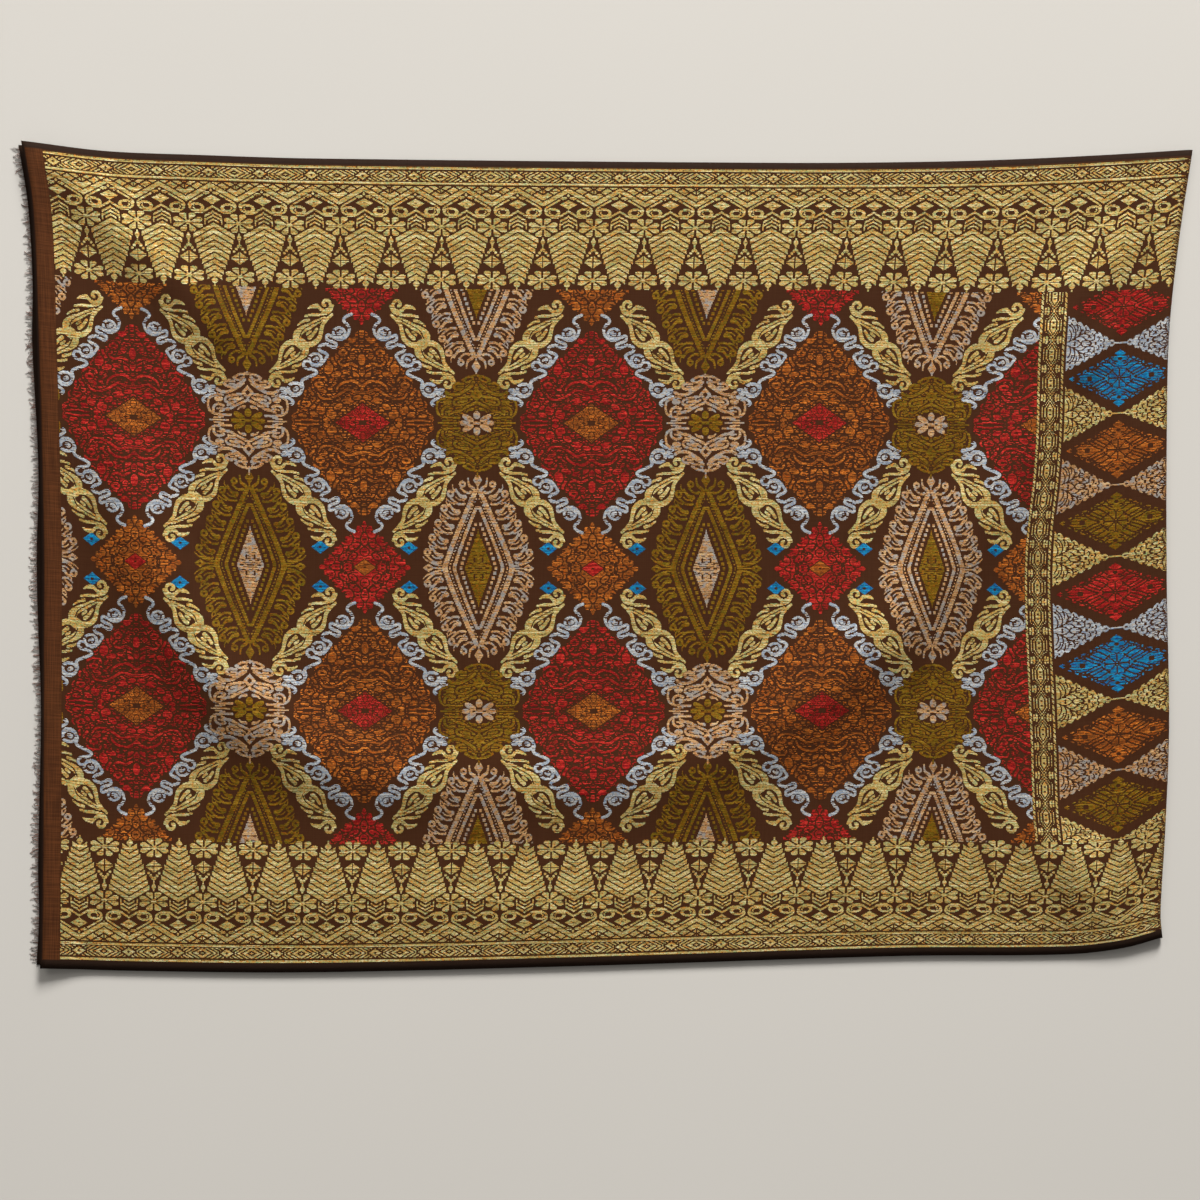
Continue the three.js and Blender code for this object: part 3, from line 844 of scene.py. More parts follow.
def head_diamond():
    """Wide diamond of the head: a round flower between leaf blades that run out to the edges."""
    x, y = quarter_window(58, 30)
    rim = x / 55 + y / 27
    radius = np.hypot(x / 11.8, y / 11)
    lobe = np.abs(np.sin(4 * np.arctan2(y / 11, x / 11.8)))
    petal = 0.80 + 0.24 * np.sqrt(lobe)
    bare = (np.abs(radius - petal) < 0.062) & (lobe < 0.8)
    bare |= (lobe * radius < 0.15) & (radius < petal) & (radius > 0.14)
    lines = (
        ((11.6, 4.4), (22, 9.8), (33, 14.4)),
        ((8.6, 8.0), (16, 12.4), (25.6, 16.6)),
        ((5.0, 11.4), (10.5, 15.2), (17.6, 19.0)),
        ((13.4, 2.2), (20, 5.2), (30, 9.4), (40, 11.0)),
        ((15.6, 0.4), (22, 2.4), (28, 5.6)),
        ((29, 6.4), (36, 6.8), (44.5, 6.4)),
        ((34, 4.4), (41, 4.2), (49.5, 2.0)),
        ((38, 1.2), (43, 1.0), (47, 0.4)),
        ((18, 12.6), (22.5, 12.0), (28, 13.4)),
        ((11.5, 16.4), (14.5, 15.6), (19, 16.6)),
        ((25, 9.0), (30, 8.2), (37, 9.2)),
        ((3.2, 16.6), (6.6, 17.2), (9.4, 19.4)),
    )
    for points in lines:
        bare |= stroke(x, y, points, 1.25) < 0
    bare |= oval(x, y, 32, 0.8, 2.6, 1.9) < 1
    bare |= oval(x, y, 0, 19.4, 2.1, 1.5) < 1
    bare |= oval(x, y, 6.0, 15.0, 2.6, 0.8, 25) < 1
    bare |= (np.abs(rim - 0.90) < 0.024) & (((x + 3) % 15) < 11) & (x > 7)
    bare |= (rim > 0.90) & (((x + 3) % 15) > 12.5) & (x > 7)
    cap = lozenge(x, y, 0, 24.6, 6.4, 4.0) < 1
    return (((rim < 1) & (y < 21.5)) | cap) & ~bare & ~flecks(x, y, 0.05)


def head_triangle():
    """Leafy triangle between two diamonds, its tip at the head's middle line and its base at the side."""
    across = int(round(58 / CELL_X))
    up = int(round(28 / CELL_Y))
    x, y = np.meshgrid((np.arange(across) + 0.5) * CELL_X, (np.arange(-up, up) + 0.5) * CELL_Y)
    y = np.abs(y)
    lobes = 3.2 * np.abs(np.sin(np.pi * (x - 5) / 7.2)) ** 0.7
    shape = (x > 5) & (y < 0.51 * (x - 5) - 1.8 + lobes)
    bare = flecks(x, y, 0.06)
    veins = (
        ((57, 1.8), (50, 5.0), (42, 9.4), (34, 11.4)),
        ((54.5, 3.0), (53.4, 8.6), (56, 14.4)),
        ((50, 5.4), (48.8, 11), (51, 16.4), (54.6, 20.6)),
        ((45.4, 7.8), (43.6, 12.6), (45.2, 17.6)),
        ((40, 10.4), (38.2, 13.4), (38.8, 16.4)),
        ((52, 4.2), (47.5, 3.6), (44, 1.4)),
        ((46.6, 7.0), (41.4, 6.6), (37.4, 3.6)),
        ((40.4, 10.0), (35.4, 8.6), (32.2, 5.4)),
        ((31, 9.6), (28.4, 6.6), (28.8, 3.6)),
        ((24.6, 7.0), (23.4, 4.4), (24.6, 1.6)),
        ((18.4, 4.0), (17.8, 2.2), (19.4, 0.6)),
        ((56.4, 18.4), (52.6, 15.2), (51.6, 11.4)),
        ((48.6, 19.8), (47.2, 16.2), (47.4, 12.6)),
    )
    for points in veins:
        bare |= stroke(x, y, points, 1.2, 0.8) < 0
    heart = np.abs(oval(x, y, 37.4, 0, 5.4, 3.2) - 1) * 3.2
    bare |= heart < 0.5
    dots = (
        (34.6, 6.4), (42.2, 13.6), (27, 1.0), (21.6, 2.4), (49.6, 1.2), (53.4, 23.0), (36, 13.0), (28.6, 8.4),
    )
    for at_x, at_y in dots:
        bare |= oval(x, y, at_x, at_y, 1.1, 0.9) < 1
    return (shape & ~bare) | ((y < 0.8) & (x < 8))


def band_repeat():
    """Gold band before the head, one repeat: rope lines, nested eight-sided rings and paired flowers."""
    across = int(round(BAND_WIDTH / 2 / CELL_X))
    up = int(round(BAND_HALF_RISE / CELL_Y))
    x, y = np.meshgrid((np.arange(-across, across) + 0.5) * CELL_X, (np.arange(-up, up) + 0.5) * CELL_Y)
    rope = ((0.9 * y + x) % 4.8) > 1.1
    x = np.abs(x)
    y = np.abs(y)
    woven = rope & (x > 9.8) & (x < 12.4)
    ring = x + 0.76 * np.maximum(y - 4.6, 0)
    dotted = ((np.floor(x) + np.floor(y / 1.6)) % 2 == 0) | (y < 4.6)
    for line in (7.5, 4.7):
        woven |= (np.abs(ring - line) < np.where(y > 4.6, 1.1, 0.62)) & dotted
    woven |= (ring < 2.7) & (lozenge(x, y, 0, 2.4, 1.4, 1.3) > 1)
    woven |= (np.abs(ring - 10.2) < 1.1) & (x < 3.4) & dotted
    flower = oval(x, y, 6.6, BAND_HALF_RISE, 2.7, 1.2) < 1
    flower |= oval(x, y, 5.4, 12.0, 1.2, 1.5, 30) < 1
    flower |= oval(x, y, 8.0, 12.2, 1.1, 1.4) < 1
    return woven | flower


class LoomChart:
    """Grid of yarns, one cell per crossing that a pattern weft can pass over."""

    def __init__(self):
        self.yarn = np.full((LOOM_ROWS, LOOM_COLUMNS), GROUND, np.uint8)

    def lay(self, woven, yarn, x, y, limits):
        """Weave a motif with its lower left corner at x, y, inside limits."""
        column = int(round(x / CELL_X))
        row = int(round((y + HALF_WIDTH) / CELL_Y))
        low_x, high_x, low_y, high_y = limits
        first = max(column, int(round(low_x / CELL_X)), 0)
        last = min(column + woven.shape[1], int(round(high_x / CELL_X)), LOOM_COLUMNS)
        bottom = max(row, int(round((low_y + HALF_WIDTH) / CELL_Y)), 0)
        top = min(row + woven.shape[0], int(round((high_y + HALF_WIDTH) / CELL_Y)), LOOM_ROWS)
        if first < last and bottom < top:
            part = woven[bottom - row:top - row, first - column:last - column]
            self.yarn[bottom:top, first:last][part] = yarn

    def lay_centred(self, layers, x, y, limits):
        """Weave a motif's layers with their middle at x, y."""
        for woven, yarn in layers:
            rise, run = woven.shape
            self.lay(woven, yarn, x - run * CELL_X / 2, y - rise * CELL_Y / 2, limits)

    def lay_quarters(self, woven, yarn, x, y, limits):
        """Weave a quarter repeat and its three mirrored copies about x, y."""
        rise = woven.shape[0] * CELL_Y
        run = woven.shape[1] * CELL_X
        self.lay(woven, yarn, x, y, limits)
        self.lay(woven[:, ::-1], yarn, x - run, y, limits)
        self.lay(woven[::-1], yarn, x, y - rise, limits)
        self.lay(woven[::-1, ::-1], yarn, x - run, y - rise, limits)


def weave_field(chart):
    """Lattice of diamonds, medallions and ovals between the borders, with scrolls and ribbons."""
    limits = (PLAIN_END, BAND_START, -FIELD_HALF, FIELD_HALF)
    odd_rows = (
        large_diamond(RED, RUST),
        lace_medallion(LACE, OLIVE, False),
        large_diamond(RUST, RED),
        lace_medallion(OLIVE, LACE, True),
    )
    even_rows = (
        small_medallion(RUST, RED),
        tall_oval(OLIVE, LACE),
        small_medallion(RED, RUST),
        tall_oval(LACE, OLIVE),
    )
    scroll = gold_scroll()
    ribbon = silver_ribbon()
    spot = blue_spot()
    for column in FIELD_COLUMNS:
        x = FIRST_COLUMN + COLUMN_PITCH * column
        for row in FIELD_ROWS:
            layers = odd_rows[column % 4] if row % 2 else even_rows[column % 4]
            chart.lay_centred(layers, x, ROW_RISE * row, limits)
        if column % 2:
            continue
        for row in SCROLL_ROWS:
            chart.lay_quarters(scroll, GOLD, x, ROW_RISE * row, limits)
            chart.lay_quarters(ribbon, SILVER, x, ROW_RISE * row, limits)
        chart.lay_quarters(spot, BLUE, x, 0, limits)


def weave_head(chart):
    """Head at the fold: a gold band, then wide diamonds with leafy triangles between them."""
    band_end = BAND_START + BAND_WIDTH
    limits = (band_end + HEAD_GAP, FRONT_STEPS + WRAP_STEPS, -FIELD_HALF, FIELD_HALF)
    diamond = head_diamond()
    triangle = head_triangle()
    diamond_yarns = (RED, BLUE, RUST, OLIVE)
    triangle_yarns = (SILVER, GOLD, LACE, GOLD)
    reach = triangle.shape[1] * CELL_X
    half_rise = triangle.shape[0] * CELL_Y / 2
    for place in HEAD_PLACES:
        y = HEAD_FIRST - HEAD_PITCH * place
        chart.lay_centred([(diamond, diamond_yarns[place % 4])], HEAD_MIDDLE, y, limits)
        low = y - HEAD_PITCH / 2 - half_rise
        chart.lay(triangle, triangle_yarns[place % 4], HEAD_MIDDLE, low, limits)
        chart.lay(triangle[:, ::-1], triangle_yarns[place % 4], HEAD_MIDDLE - reach, low, limits)
    band = band_repeat()
    rise = band.shape[0] * CELL_Y
    limits = (BAND_START, band_end, -FIELD_HALF + BAND_NEAR_GAP, FIELD_HALF - BAND_FAR_GAP)
    for place in BAND_PLACES:
        chart.lay(band, GOLD, BAND_START, (place - BAND_SLIP) * rise, limits)


def weave_borders(chart):
    """Gold borders along both selvedges, their leaves pointing into the field."""
    limits = (PLAIN_END, FRONT_STEPS + WRAP_STEPS, -HALF_WIDTH, HALF_WIDTH)
    border = border_repeat()
    run = border.shape[1] * CELL_X
    rise = border.shape[0] * CELL_Y
    for place in BORDER_PLACES:
        x = BORDER_PITCH * place - run / 2
        chart.lay(border, GOLD, NEAR_FIRST_LEAF + x, NEAR_SELVEDGE - HALF_WIDTH, limits)
        chart.lay(border[::-1], GOLD, FAR_FIRST_LEAF + x, HALF_WIDTH - FAR_SELVEDGE - rise, limits)


@functools.cache
def woven_chart():
    """Yarn of every loom cell."""
    chart = LoomChart()
    weave_field(chart)
    weave_head(chart)
    weave_borders(chart)
    return chart.yarn


# Meshes

def mesh_piece(name, points, corners, starts, material):
    """New piece from points in metres, face corners and the first corner of each face."""
    mesh = bpy.data.meshes.new(name)
    mesh.vertices.add(len(points))
    mesh.vertices.foreach_set("co", np.ascontiguousarray(points, np.float32).ravel())
    mesh.loops.add(len(corners))
    mesh.loops.foreach_set("vertex_index", np.ascontiguousarray(corners, np.int32))
    mesh.polygons.add(len(starts))
    mesh.polygons.foreach_set("loop_start", np.ascontiguousarray(starts, np.int32))
    mesh.update(calc_edges=True)
    mesh.polygons.foreach_set("use_smooth", np.ones(len(starts), bool))
    mesh.materials.append(material)
    piece = bpy.data.objects.new(name, mesh)
    bpy.context.scene.collection.objects.link(piece)
    return piece


def add_uv(piece, name, places):
    """UV map with one place for each point of the mesh."""
    corners = np.empty(len(piece.data.loops), np.int32)
    piece.data.loops.foreach_get("vertex_index", corners)
    layer = piece.data.uv_layers.new(name=name)
    layer.data.foreach_set("uv", np.ascontiguousarray(places[corners], np.float32).ravel())


def settle(piece):
    """Ride on the only body."""
    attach(piece, "root")


def float_runs(yarn, low_row, high_row):
    """Row, first cell and end cell of each float of a yarn, cut where a warp thread ties it down."""
    woven = woven_chart()[low_row:high_row] == yarn
    change = np.diff(np.pad(woven, ((0, 0), (1, 1))).astype(np.int8), axis=1)
    row, first = np.nonzero(change == 1)
    end = np.nonzero(change == -1)[1]
    kept = end - first >= SHORTEST_FLOAT
    row, first, end = row[kept] + low_row, first[kept], end[kept]
    slip = row * TIE_SLIP
    first_tie = (first + slip + TIE_SPARE) // TIE_PITCH
    last_tie = np.maximum((end - 1 + slip - TIE_SPARE) // TIE_PITCH, first_tie)
    parts = last_tie - first_tie + 1
    run = np.repeat(np.arange(len(row)), parts)
    part = np.arange(len(run)) - np.repeat(np.cumsum(parts) - parts, parts)
    tie = (first_tie[run] + part) * TIE_PITCH - slip[run]
    start = np.where(part == 0, first[run], tie)
    stop = np.where(part == parts[run] - 1, end[run], tie + TIE_PITCH)
    return row[run], start, stop


def float_piece(name, yarn, low_row, high_row, settings, material):
    """One mesh of all a yarn's floats between two rows: low ridges with sloped ends, on the outer face."""
    row, start, stop = float_runs(yarn, low_row, high_row)
    left = start * CELL_X
    right = stop * CELL_X
    middle = (row + 0.5) * CELL_Y - HALF_WIDTH
    half = np.full(len(row), FLOAT_HALF * CELL_Y)
    slope = np.minimum(settings.end_slope / STEP, SLOPE_SHARE * (right - left))
    x = np.stack([left, right, right, left, left + slope, right - slope], axis=1)
    y = np.stack([middle - half, middle - half, middle + half, middle + half, middle, middle], axis=1)
    lift = np.tile([-FLOAT_SUNK] * 4 + [settings.float_height / MM] * 2, (len(row), 1))
    points = face_point(x.ravel(), y.ravel(), lift.ravel())
    order = np.arange(len(row))[:, None]
    corners = (np.array(FLOAT_CORNERS) + FLOAT_POINTS * order).ravel()
    starts = (np.array(FLOAT_FACE_STARTS) + len(FLOAT_CORNERS) * order).ravel()
    piece = mesh_piece(name, points, corners, starts, material)
    add_uv(piece, "ClothUV", np.stack([x.ravel(), y.ravel()], axis=1) * STEP)
    add_uv(piece, "OFBake", bake_place(x.ravel(), y.ravel()))
    # Each float's glint sets how far its colour is painted shade or painted highlight, and its roughness
    chance = np.random.default_rng(SEED + yarn)
    thread = chance.random(LOOM_ROWS)[row]
    glint = THREAD_GLINT * thread + FLOAT_GLINT * chance.random(len(row))
    attribute = piece.data.attributes.new("glint", "FLOAT", "FACE")
    attribute.data.foreach_set("value", np.repeat(glint, len(FLOAT_FACE_STARTS)).astype(np.float32))
    settle(piece)
    return piece


def bake_place(x, y):
    """Loom place scaled into the unit square, for a baked texture."""
    across = x / (FRONT_STEPS + WRAP_STEPS)
    up = (y + HALF_WIDTH) / (2 * HALF_WIDTH)
    return BAKE_MARGIN + (1 - 2 * BAKE_MARGIN) * np.stack([across, up], axis=1)


def sheet_piece(settings, material):
    """Folded ground cloth as one closed sheet: upper layer, folded edge, lower layer."""
    length = FRONT_STEPS * STEP
    rows = int(round(2 * HALF_WIDTH * STEP / settings.cell_size)) + 1
    upper = np.linspace(0, 1, int(round(length / settings.cell_size)) + 1)
    turn = np.linspace(0, np.pi, LOOP_CUTS + 1)[1:-1]
    lower = np.linspace(1, 0, int(round(length / settings.lower_cell_size)) + 1)
    v = np.linspace(0, 1, rows)
    faces = []
    for shape, places in ((upper_face, upper), (loop_face, turn), (lower_face, lower)):
        faces.append(shape(*np.meshgrid(places, v)))
    middle = np.concatenate([face[0] for face in faces], axis=1)
    normal = np.concatenate([face[1] for face in faces], axis=1)
    half = settings.thickness / MM / 2
    points = np.stack([middle + normal * half, middle - normal * half])
    radius = FOLD_RADIUS * MM / length
    run = np.concatenate([upper, 1 + turn * radius, 1 + np.pi * radius + 1 - lower])
    run, across = np.meshgrid(run * length, (2 * v - 1) * HALF_WIDTH * STEP)
    points = (points - plan_shift()) * MM
    corners = closed_sheet_faces(*middle.shape[:2])
    starts = np.arange(len(corners)) * 4
    piece = mesh_piece("ground_cloth", points.reshape(-1, 3), corners.ravel(), starts, material)
    place = np.stack([run, across], axis=-1).reshape(-1, 2)
    add_uv(piece, "ClothUV", np.concatenate([place, place]))
    return piece


def closed_sheet_faces(rows, columns):
    """Four-cornered faces of a closed sheet whose outer and inner grids follow each other."""
    outer = np.arange(rows * columns).reshape(rows, columns)
    inner = outer + rows * columns

    def quads(a, b, c, d):
        return np.stack([a.ravel(), b.ravel(), c.ravel(), d.ravel()], axis=1)

    return np.concatenate([
        quads(outer[:-1, :-1], outer[:-1, 1:], outer[1:, 1:], outer[1:, :-1]),
        quads(inner[:-1, :-1], inner[1:, :-1], inner[1:, 1:], inner[:-1, 1:]),
        quads(outer[0, :-1], inner[0, :-1], inner[0, 1:], outer[0, 1:]),
        quads(outer[-1, :-1], outer[-1, 1:], inner[-1, 1:], inner[-1, :-1]),
        quads(outer[:-1, 0], outer[1:, 0], inner[1:, 0], inner[:-1, 0]),
        quads(outer[:-1, -1], inner[:-1, -1], inner[1:, -1], outer[1:, -1]),
    ])


def loose_thread(tree, sizes):
    """Nodes of one bent thread with a narrow tip."""
    nodes = tree.nodes
    link = tree.links.new
    path = nodes.new("GeometryNodeCurveQuadraticBezier")
    path.inputs["Resolution"].default_value = THREAD_CUTS
    path.inputs["Start"].default_value = THREAD_START
    path.inputs["Middle"].default_value = THREAD_BEND
    path.inputs["End"].default_value = THREAD_TIP
    long = nodes.new("GeometryNodeTransform")
    size = nodes.new("ShaderNodeCombineXYZ")
    for axis in "XYZ":
        link(sizes.outputs["Thread Length"], size.inputs[axis])
    link(path.outputs["Curve"], long.inputs["Geometry"])
    link(size.outputs["Vector"], long.inputs["Scale"])
    along_thread = nodes.new("GeometryNodeSplineParameter")
    taper = nodes.new("ShaderNodeMapRange")
    taper.inputs["To Min"].default_value = 1.0
    taper.inputs["To Max"].default_value = TIP_WIDTH
    link(along_thread.outputs["Factor"], taper.inputs["Value"])
    profile = nodes.new("GeometryNodeCurvePrimitiveCircle")
    profile.inputs["Resolution"].default_value = THREAD_SIDES
    link(sizes.outputs["Thread Radius"], profile.inputs["Radius"])
    tube = nodes.new("GeometryNodeCurveToMesh")
    tube.inputs["Fill Caps"].default_value = True
    link(long.outputs["Geometry"], tube.inputs["Curve"])
    link(profile.outputs["Curve"], tube.inputs["Profile Curve"])
    link(taper.outputs["Result"], tube.inputs["Scale"])
    return tube.outputs["Mesh"]


def thread_lean(tree, sizes):
    """Nodes of each thread's random turn to either side and its random stretch."""
    nodes = tree.nodes
    link = tree.links.new
    lean = nodes.new("FunctionNodeRandomValue")
    lean.data_type = "FLOAT"
    link(math_node(tree, "MULTIPLY", sizes.outputs["Spread"], -1.0), lean.inputs[2])
    link(sizes.outputs["Spread"], lean.inputs[3])
    link(sizes.outputs["Seed"], lean.inputs["Seed"])
    turn = nodes.new("ShaderNodeCombineXYZ")
    link(lean.outputs[1], turn.inputs["Z"])
    euler = nodes.new("FunctionNodeEulerToRotation")
    link(turn.outputs["Vector"], euler.inputs[0])
    stretch = nodes.new("FunctionNodeRandomValue")
    stretch.data_type = "FLOAT_VECTOR"
    stretch.inputs[0].default_value = LEAST_STRETCH
    stretch.inputs[1].default_value = MOST_STRETCH
    link(sizes.outputs["Seed"], stretch.inputs["Seed"])
    return euler.outputs[0], stretch.outputs[0]


def fray_tree(material):
    """Geometry Nodes that set loose threads along the cut end."""
    tree = bpy.data.node_groups.new("Frayed Threads", "GeometryNodeTree")
    face = tree.interface
    face.new_socket("Geometry", in_out="INPUT", socket_type="NodeSocketGeometry")
    face.new_socket("Threads", in_out="INPUT", socket_type="NodeSocketInt")
    for name in ("Thread Length", "Thread Radius", "Spread"):
        face.new_socket(name, in_out="INPUT", socket_type="NodeSocketFloat")
    face.new_socket("Seed", in_out="INPUT", socket_type="NodeSocketInt")
    face.new_socket("Geometry", in_out="OUTPUT", socket_type="NodeSocketGeometry")
    nodes = tree.nodes
    link = tree.links.new
    sizes = nodes.new("NodeGroupInput")
    result = nodes.new("NodeGroupOutput")

    end_line = nodes.new("GeometryNodeMeshToCurve")
    link(sizes.outputs["Geometry"], end_line.inputs["Mesh"])
    roots = nodes.new("GeometryNodeResampleCurve")
    link(end_line.outputs["Curve"], roots.inputs["Curve"])
    link(sizes.outputs["Threads"], roots.inputs["Count"])

    turn, stretch = thread_lean(tree, sizes)
    place = nodes.new("GeometryNodeInstanceOnPoints")
    link(roots.outputs["Curve"], place.inputs["Points"])
    link(loose_thread(tree, sizes), place.inputs["Instance"])
    link(turn, place.inputs["Rotation"])
    link(stretch, place.inputs["Scale"])
    real = nodes.new("GeometryNodeRealizeInstances")
    link(place.outputs["Instances"], real.inputs["Geometry"])
    finish = nodes.new("GeometryNodeSetMaterial")
    finish.inputs["Material"].default_value = material
    link(real.outputs["Geometry"], finish.inputs["Geometry"])
    link(finish.outputs["Geometry"], result.inputs["Geometry"])
    return tree


def fray_piece(settings, material):
    """Loose weft threads along the lower layer's cut end, as a plain mesh."""
    v = np.linspace(CUT_END_MARGIN, 1 - CUT_END_MARGIN, CUT_END_POINTS)
    end, _ = lower_face(np.zeros(len(v)), v)
    points = (end - plan_shift()) * MM
    line = bpy.data.meshes.new("cut_end")
    spans = [(point, point + 1) for point in range(len(v) - 1)]
    line.from_pydata([tuple(point) for point in points], spans, [])
    guide = bpy.data.objects.new("cut_end", line)
    bpy.context.scene.collection.objects.link(guide)
    tree = fray_tree(material)
    modifier = guide.modifiers.new("Frayed Threads", "NODES")
    modifier.node_group = tree
    values = {
        "Threads": settings.threads,
        "Thread Length": settings.thread_length,
        "Thread Radius": settings.thread_radius,
        "Spread": settings.spread,
        "Seed": SEED,
    }
    for item in tree.interface.items_tree:
        if item.in_out == "INPUT" and item.name in values:
            modifier[item.identifier] = values[item.name]
    graph = bpy.context.evaluated_depsgraph_get()
    mesh = bpy.data.meshes.new_from_object(guide.evaluated_get(graph))
    bpy.data.objects.remove(guide)
    mesh.name = "loose_threads"
    piece = bpy.data.objects.new("loose_threads", mesh)
    bpy.context.scene.collection.objects.link(piece)
    return piece


# Finishes

def tone(red, green, blue):
    """Linear colour of a colour given in screen values from 0 to 255."""
    linear = []
    for value in (red, green, blue):
        share = value / 255
        linear.append(share / 12.92 if share <= 0.04045 else ((share + 0.055) / 1.055) ** 2.4)
    return (*linear, 1.0)


def group_tree(name, inputs, outputs):
    """Empty shader group with named sockets, its input node and its output node."""
    tree = bpy.data.node_groups.new(name, "ShaderNodeTree")
    for socket, kind in inputs:
        tree.interface.new_socket(socket, in_out="INPUT", socket_type="NodeSocket" + kind)
    for socket, kind in outputs:
        tree.interface.new_socket(socket, in_out="OUTPUT", socket_type="NodeSocket" + kind)
    return tree, tree.nodes.new("NodeGroupInput"), tree.nodes.new("NodeGroupOutput")


def math_node(tree, operation, first, second=0.0):
    """Math node on two sockets or numbers, and its result."""
    node = tree.nodes.new("ShaderNodeMath")
    node.operation = operation
    for socket, value in zip(node.inputs, (first, second)):
        if isinstance(value, (int, float)):
            socket.default_value = value
        else:
            tree.links.new(value, socket)
    return node.outputs[0]


def range_node(tree, value, low, high, to_low=0.0, to_high=1.0):
    """Smooth step of a value from low to high."""
    node = tree.nodes.new("ShaderNodeMapRange")
    node.interpolation_type = "SMOOTHSTEP"
    tree.links.new(value, node.inputs["Value"])
    node.inputs["From Min"].default_value = low
    node.inputs["From Max"].default_value = high
    node.inputs["To Min"].default_value = to_low
    node.inputs["To Max"].default_value = to_high
    return node.outputs["Result"]


def blend_node(tree, share, first, second):
    """Colour blend of two sockets or colours."""
    node = tree.nodes.new("ShaderNodeMix")
    node.data_type = "RGBA"
    tree.links.new(share, node.inputs[0])
    for socket, value in zip((node.inputs[6], node.inputs[7]), (first, second)):
        if isinstance(value, tuple):
            socket.default_value = value
        else:
            tree.links.new(value, socket)
    return node.outputs[2]


def streak_node(tree, vector, size, detail=2.0):
    """Noise with its repeats a metre along and across the weft."""
    scale = tree.nodes.new("ShaderNodeVectorMath")
    scale.operation = "MULTIPLY"
    scale.inputs[1].default_value = (*size, 1.0)
    tree.links.new(vector, scale.inputs[0])
    noise = tree.nodes.new("ShaderNodeTexNoise")
    noise.inputs["Scale"].default_value = 1.0
    noise.inputs["Detail"].default_value = detail
    tree.links.new(scale.outputs["Vector"], noise.inputs["Vector"])
    return noise.outputs["Fac"]


@functools.cache
def yarn_tint_and_light_group():
    """Yarn Tint and Painted Light: a float's colour between its main dye, its painted shade and painted
    highlight, and its warm and cool tints, and the height of its twist.
    """
    colour_inputs = ("Deep", "Main", "Light", "Warm", "Cool")
    inputs = [(swatch, "Color") for swatch in colour_inputs]
    inputs += [("Glint", "Float"), ("Shade And Tone Patches", "Float"), ("Drift", "Float"), ("Cloth", "Vector")]
    tree, source, result = group_tree("Yarn Tint and Painted Light", inputs, (("Colour", "Color"), ("Twist", "Float")))
    deep, main, light, warm, cool = (source.outputs[swatch] for swatch in colour_inputs)
    cloth = source.outputs["Cloth"]
    split = tree.nodes.new("ShaderNodeSeparateXYZ")
    tree.links.new(cloth, split.inputs[0])
    # Spark: noise that moves the glint along each float, a painted sparkle
    spark = range_node(tree, streak_node(tree, cloth, SPARK_SIZE), *SPARK_RANGE, *SPARK_GAIN)
    glint = math_node(tree, "ADD", source.outputs["Glint"], spark)
    # Painted shade and painted highlight: the glint takes a float from the deep colour through the main dye
    # to the light one
    surface_colour = blend_node(tree, range_node(tree, glint, *MAIN_GLINT), deep, main)
    surface_colour = blend_node(tree, range_node(tree, glint, *LIGHT_GLINT), surface_colour, light)
    # Deep patches: partly painted shade of the folds, partly uneven tone of the yarn
    shade_and_tone_patch = range_node(tree, streak_node(tree, cloth, SHADE_AND_TONE_PATCH_SIZE, 1.0), *SHADE_AND_TONE_PATCH_RANGE)
    shade_and_tone_patch = math_node(tree, "MULTIPLY", shade_and_tone_patch, source.outputs["Shade And Tone Patches"])
    surface_colour = blend_node(tree, shade_and_tone_patch, surface_colour, deep)
    warmed = range_node(tree, streak_node(tree, cloth, WARM_SIZE), *WARM_RANGE)
    surface_colour = blend_node(tree, warmed, surface_colour, warm)
    cooled = range_node(tree, streak_node(tree, cloth, COOL_SIZE), *COOL_RANGE)
    surface_colour = blend_node(tree, cooled, surface_colour, cool)
    drift = range_node(tree, streak_node(tree, cloth, DRIFT_SIZE, 1.0), *DRIFT_RANGE)
    drift = math_node(tree, "MULTIPLY", drift, source.outputs["Drift"])
    surface_colour = blend_node(tree, drift, surface_colour, cool)
    turns = math_node(tree, "MULTIPLY", split.outputs["X"], TWIST_TURNS)
    phase = math_node(tree, "ADD", turns, split.outputs["Y"])
    tree.links.new(surface_colour, result.inputs["Colour"])
    tree.links.new(math_node(tree, "SINE", phase), result.inputs["Twist"])
    return tree


@functools.cache
def plain_weave_group():
    """Plain Weave: height and shade of threads that pass over and under each other."""
    inputs = (("Cloth", "Vector"), ("Threads", "Float"))
    tree, source, result = group_tree("Plain Weave", inputs, (("Height", "Float"), ("Shade", "Float")))
    split = tree.nodes.new("ShaderNodeSeparateXYZ")
    tree.links.new(source.outputs["Cloth"], split.inputs[0])
    turns = math_node(tree, "MULTIPLY", source.outputs["Threads"], np.pi)
    warp = math_node(tree, "SINE", math_node(tree, "MULTIPLY", split.outputs["X"], turns))
    weft = math_node(tree, "SINE", math_node(tree, "MULTIPLY", split.outputs["Y"], turns))
    over = math_node(tree, "MULTIPLY", warp, weft)
    streak = streak_node(tree, source.outputs["Cloth"], STREAK_SIZE)
    slub = streak_node(tree, source.outputs["Cloth"], SLUB_SIZE)
    shade = math_node(tree, "MULTIPLY", math_node(tree, "ADD", streak, slub), 0.5)
    tree.links.new(over, result.inputs["Height"])
    tree.links.new(shade, result.inputs["Shade"])
    return tree


def new_material(name):
    """Material with its tree and its shader."""
    material = bpy.data.materials.new(name)
    material.use_nodes = True
    return material, material.node_tree, material.node_tree.nodes["Principled BSDF"]


def cloth_material(name):
    """Material with its tree, its shader and the cloth's own UV places."""
    material, tree, shader = new_material(name)
    cloth = tree.nodes.new("ShaderNodeUVMap")
    cloth.uv_map = "ClothUV"
    return material, tree, shader, cloth.outputs["UV"]


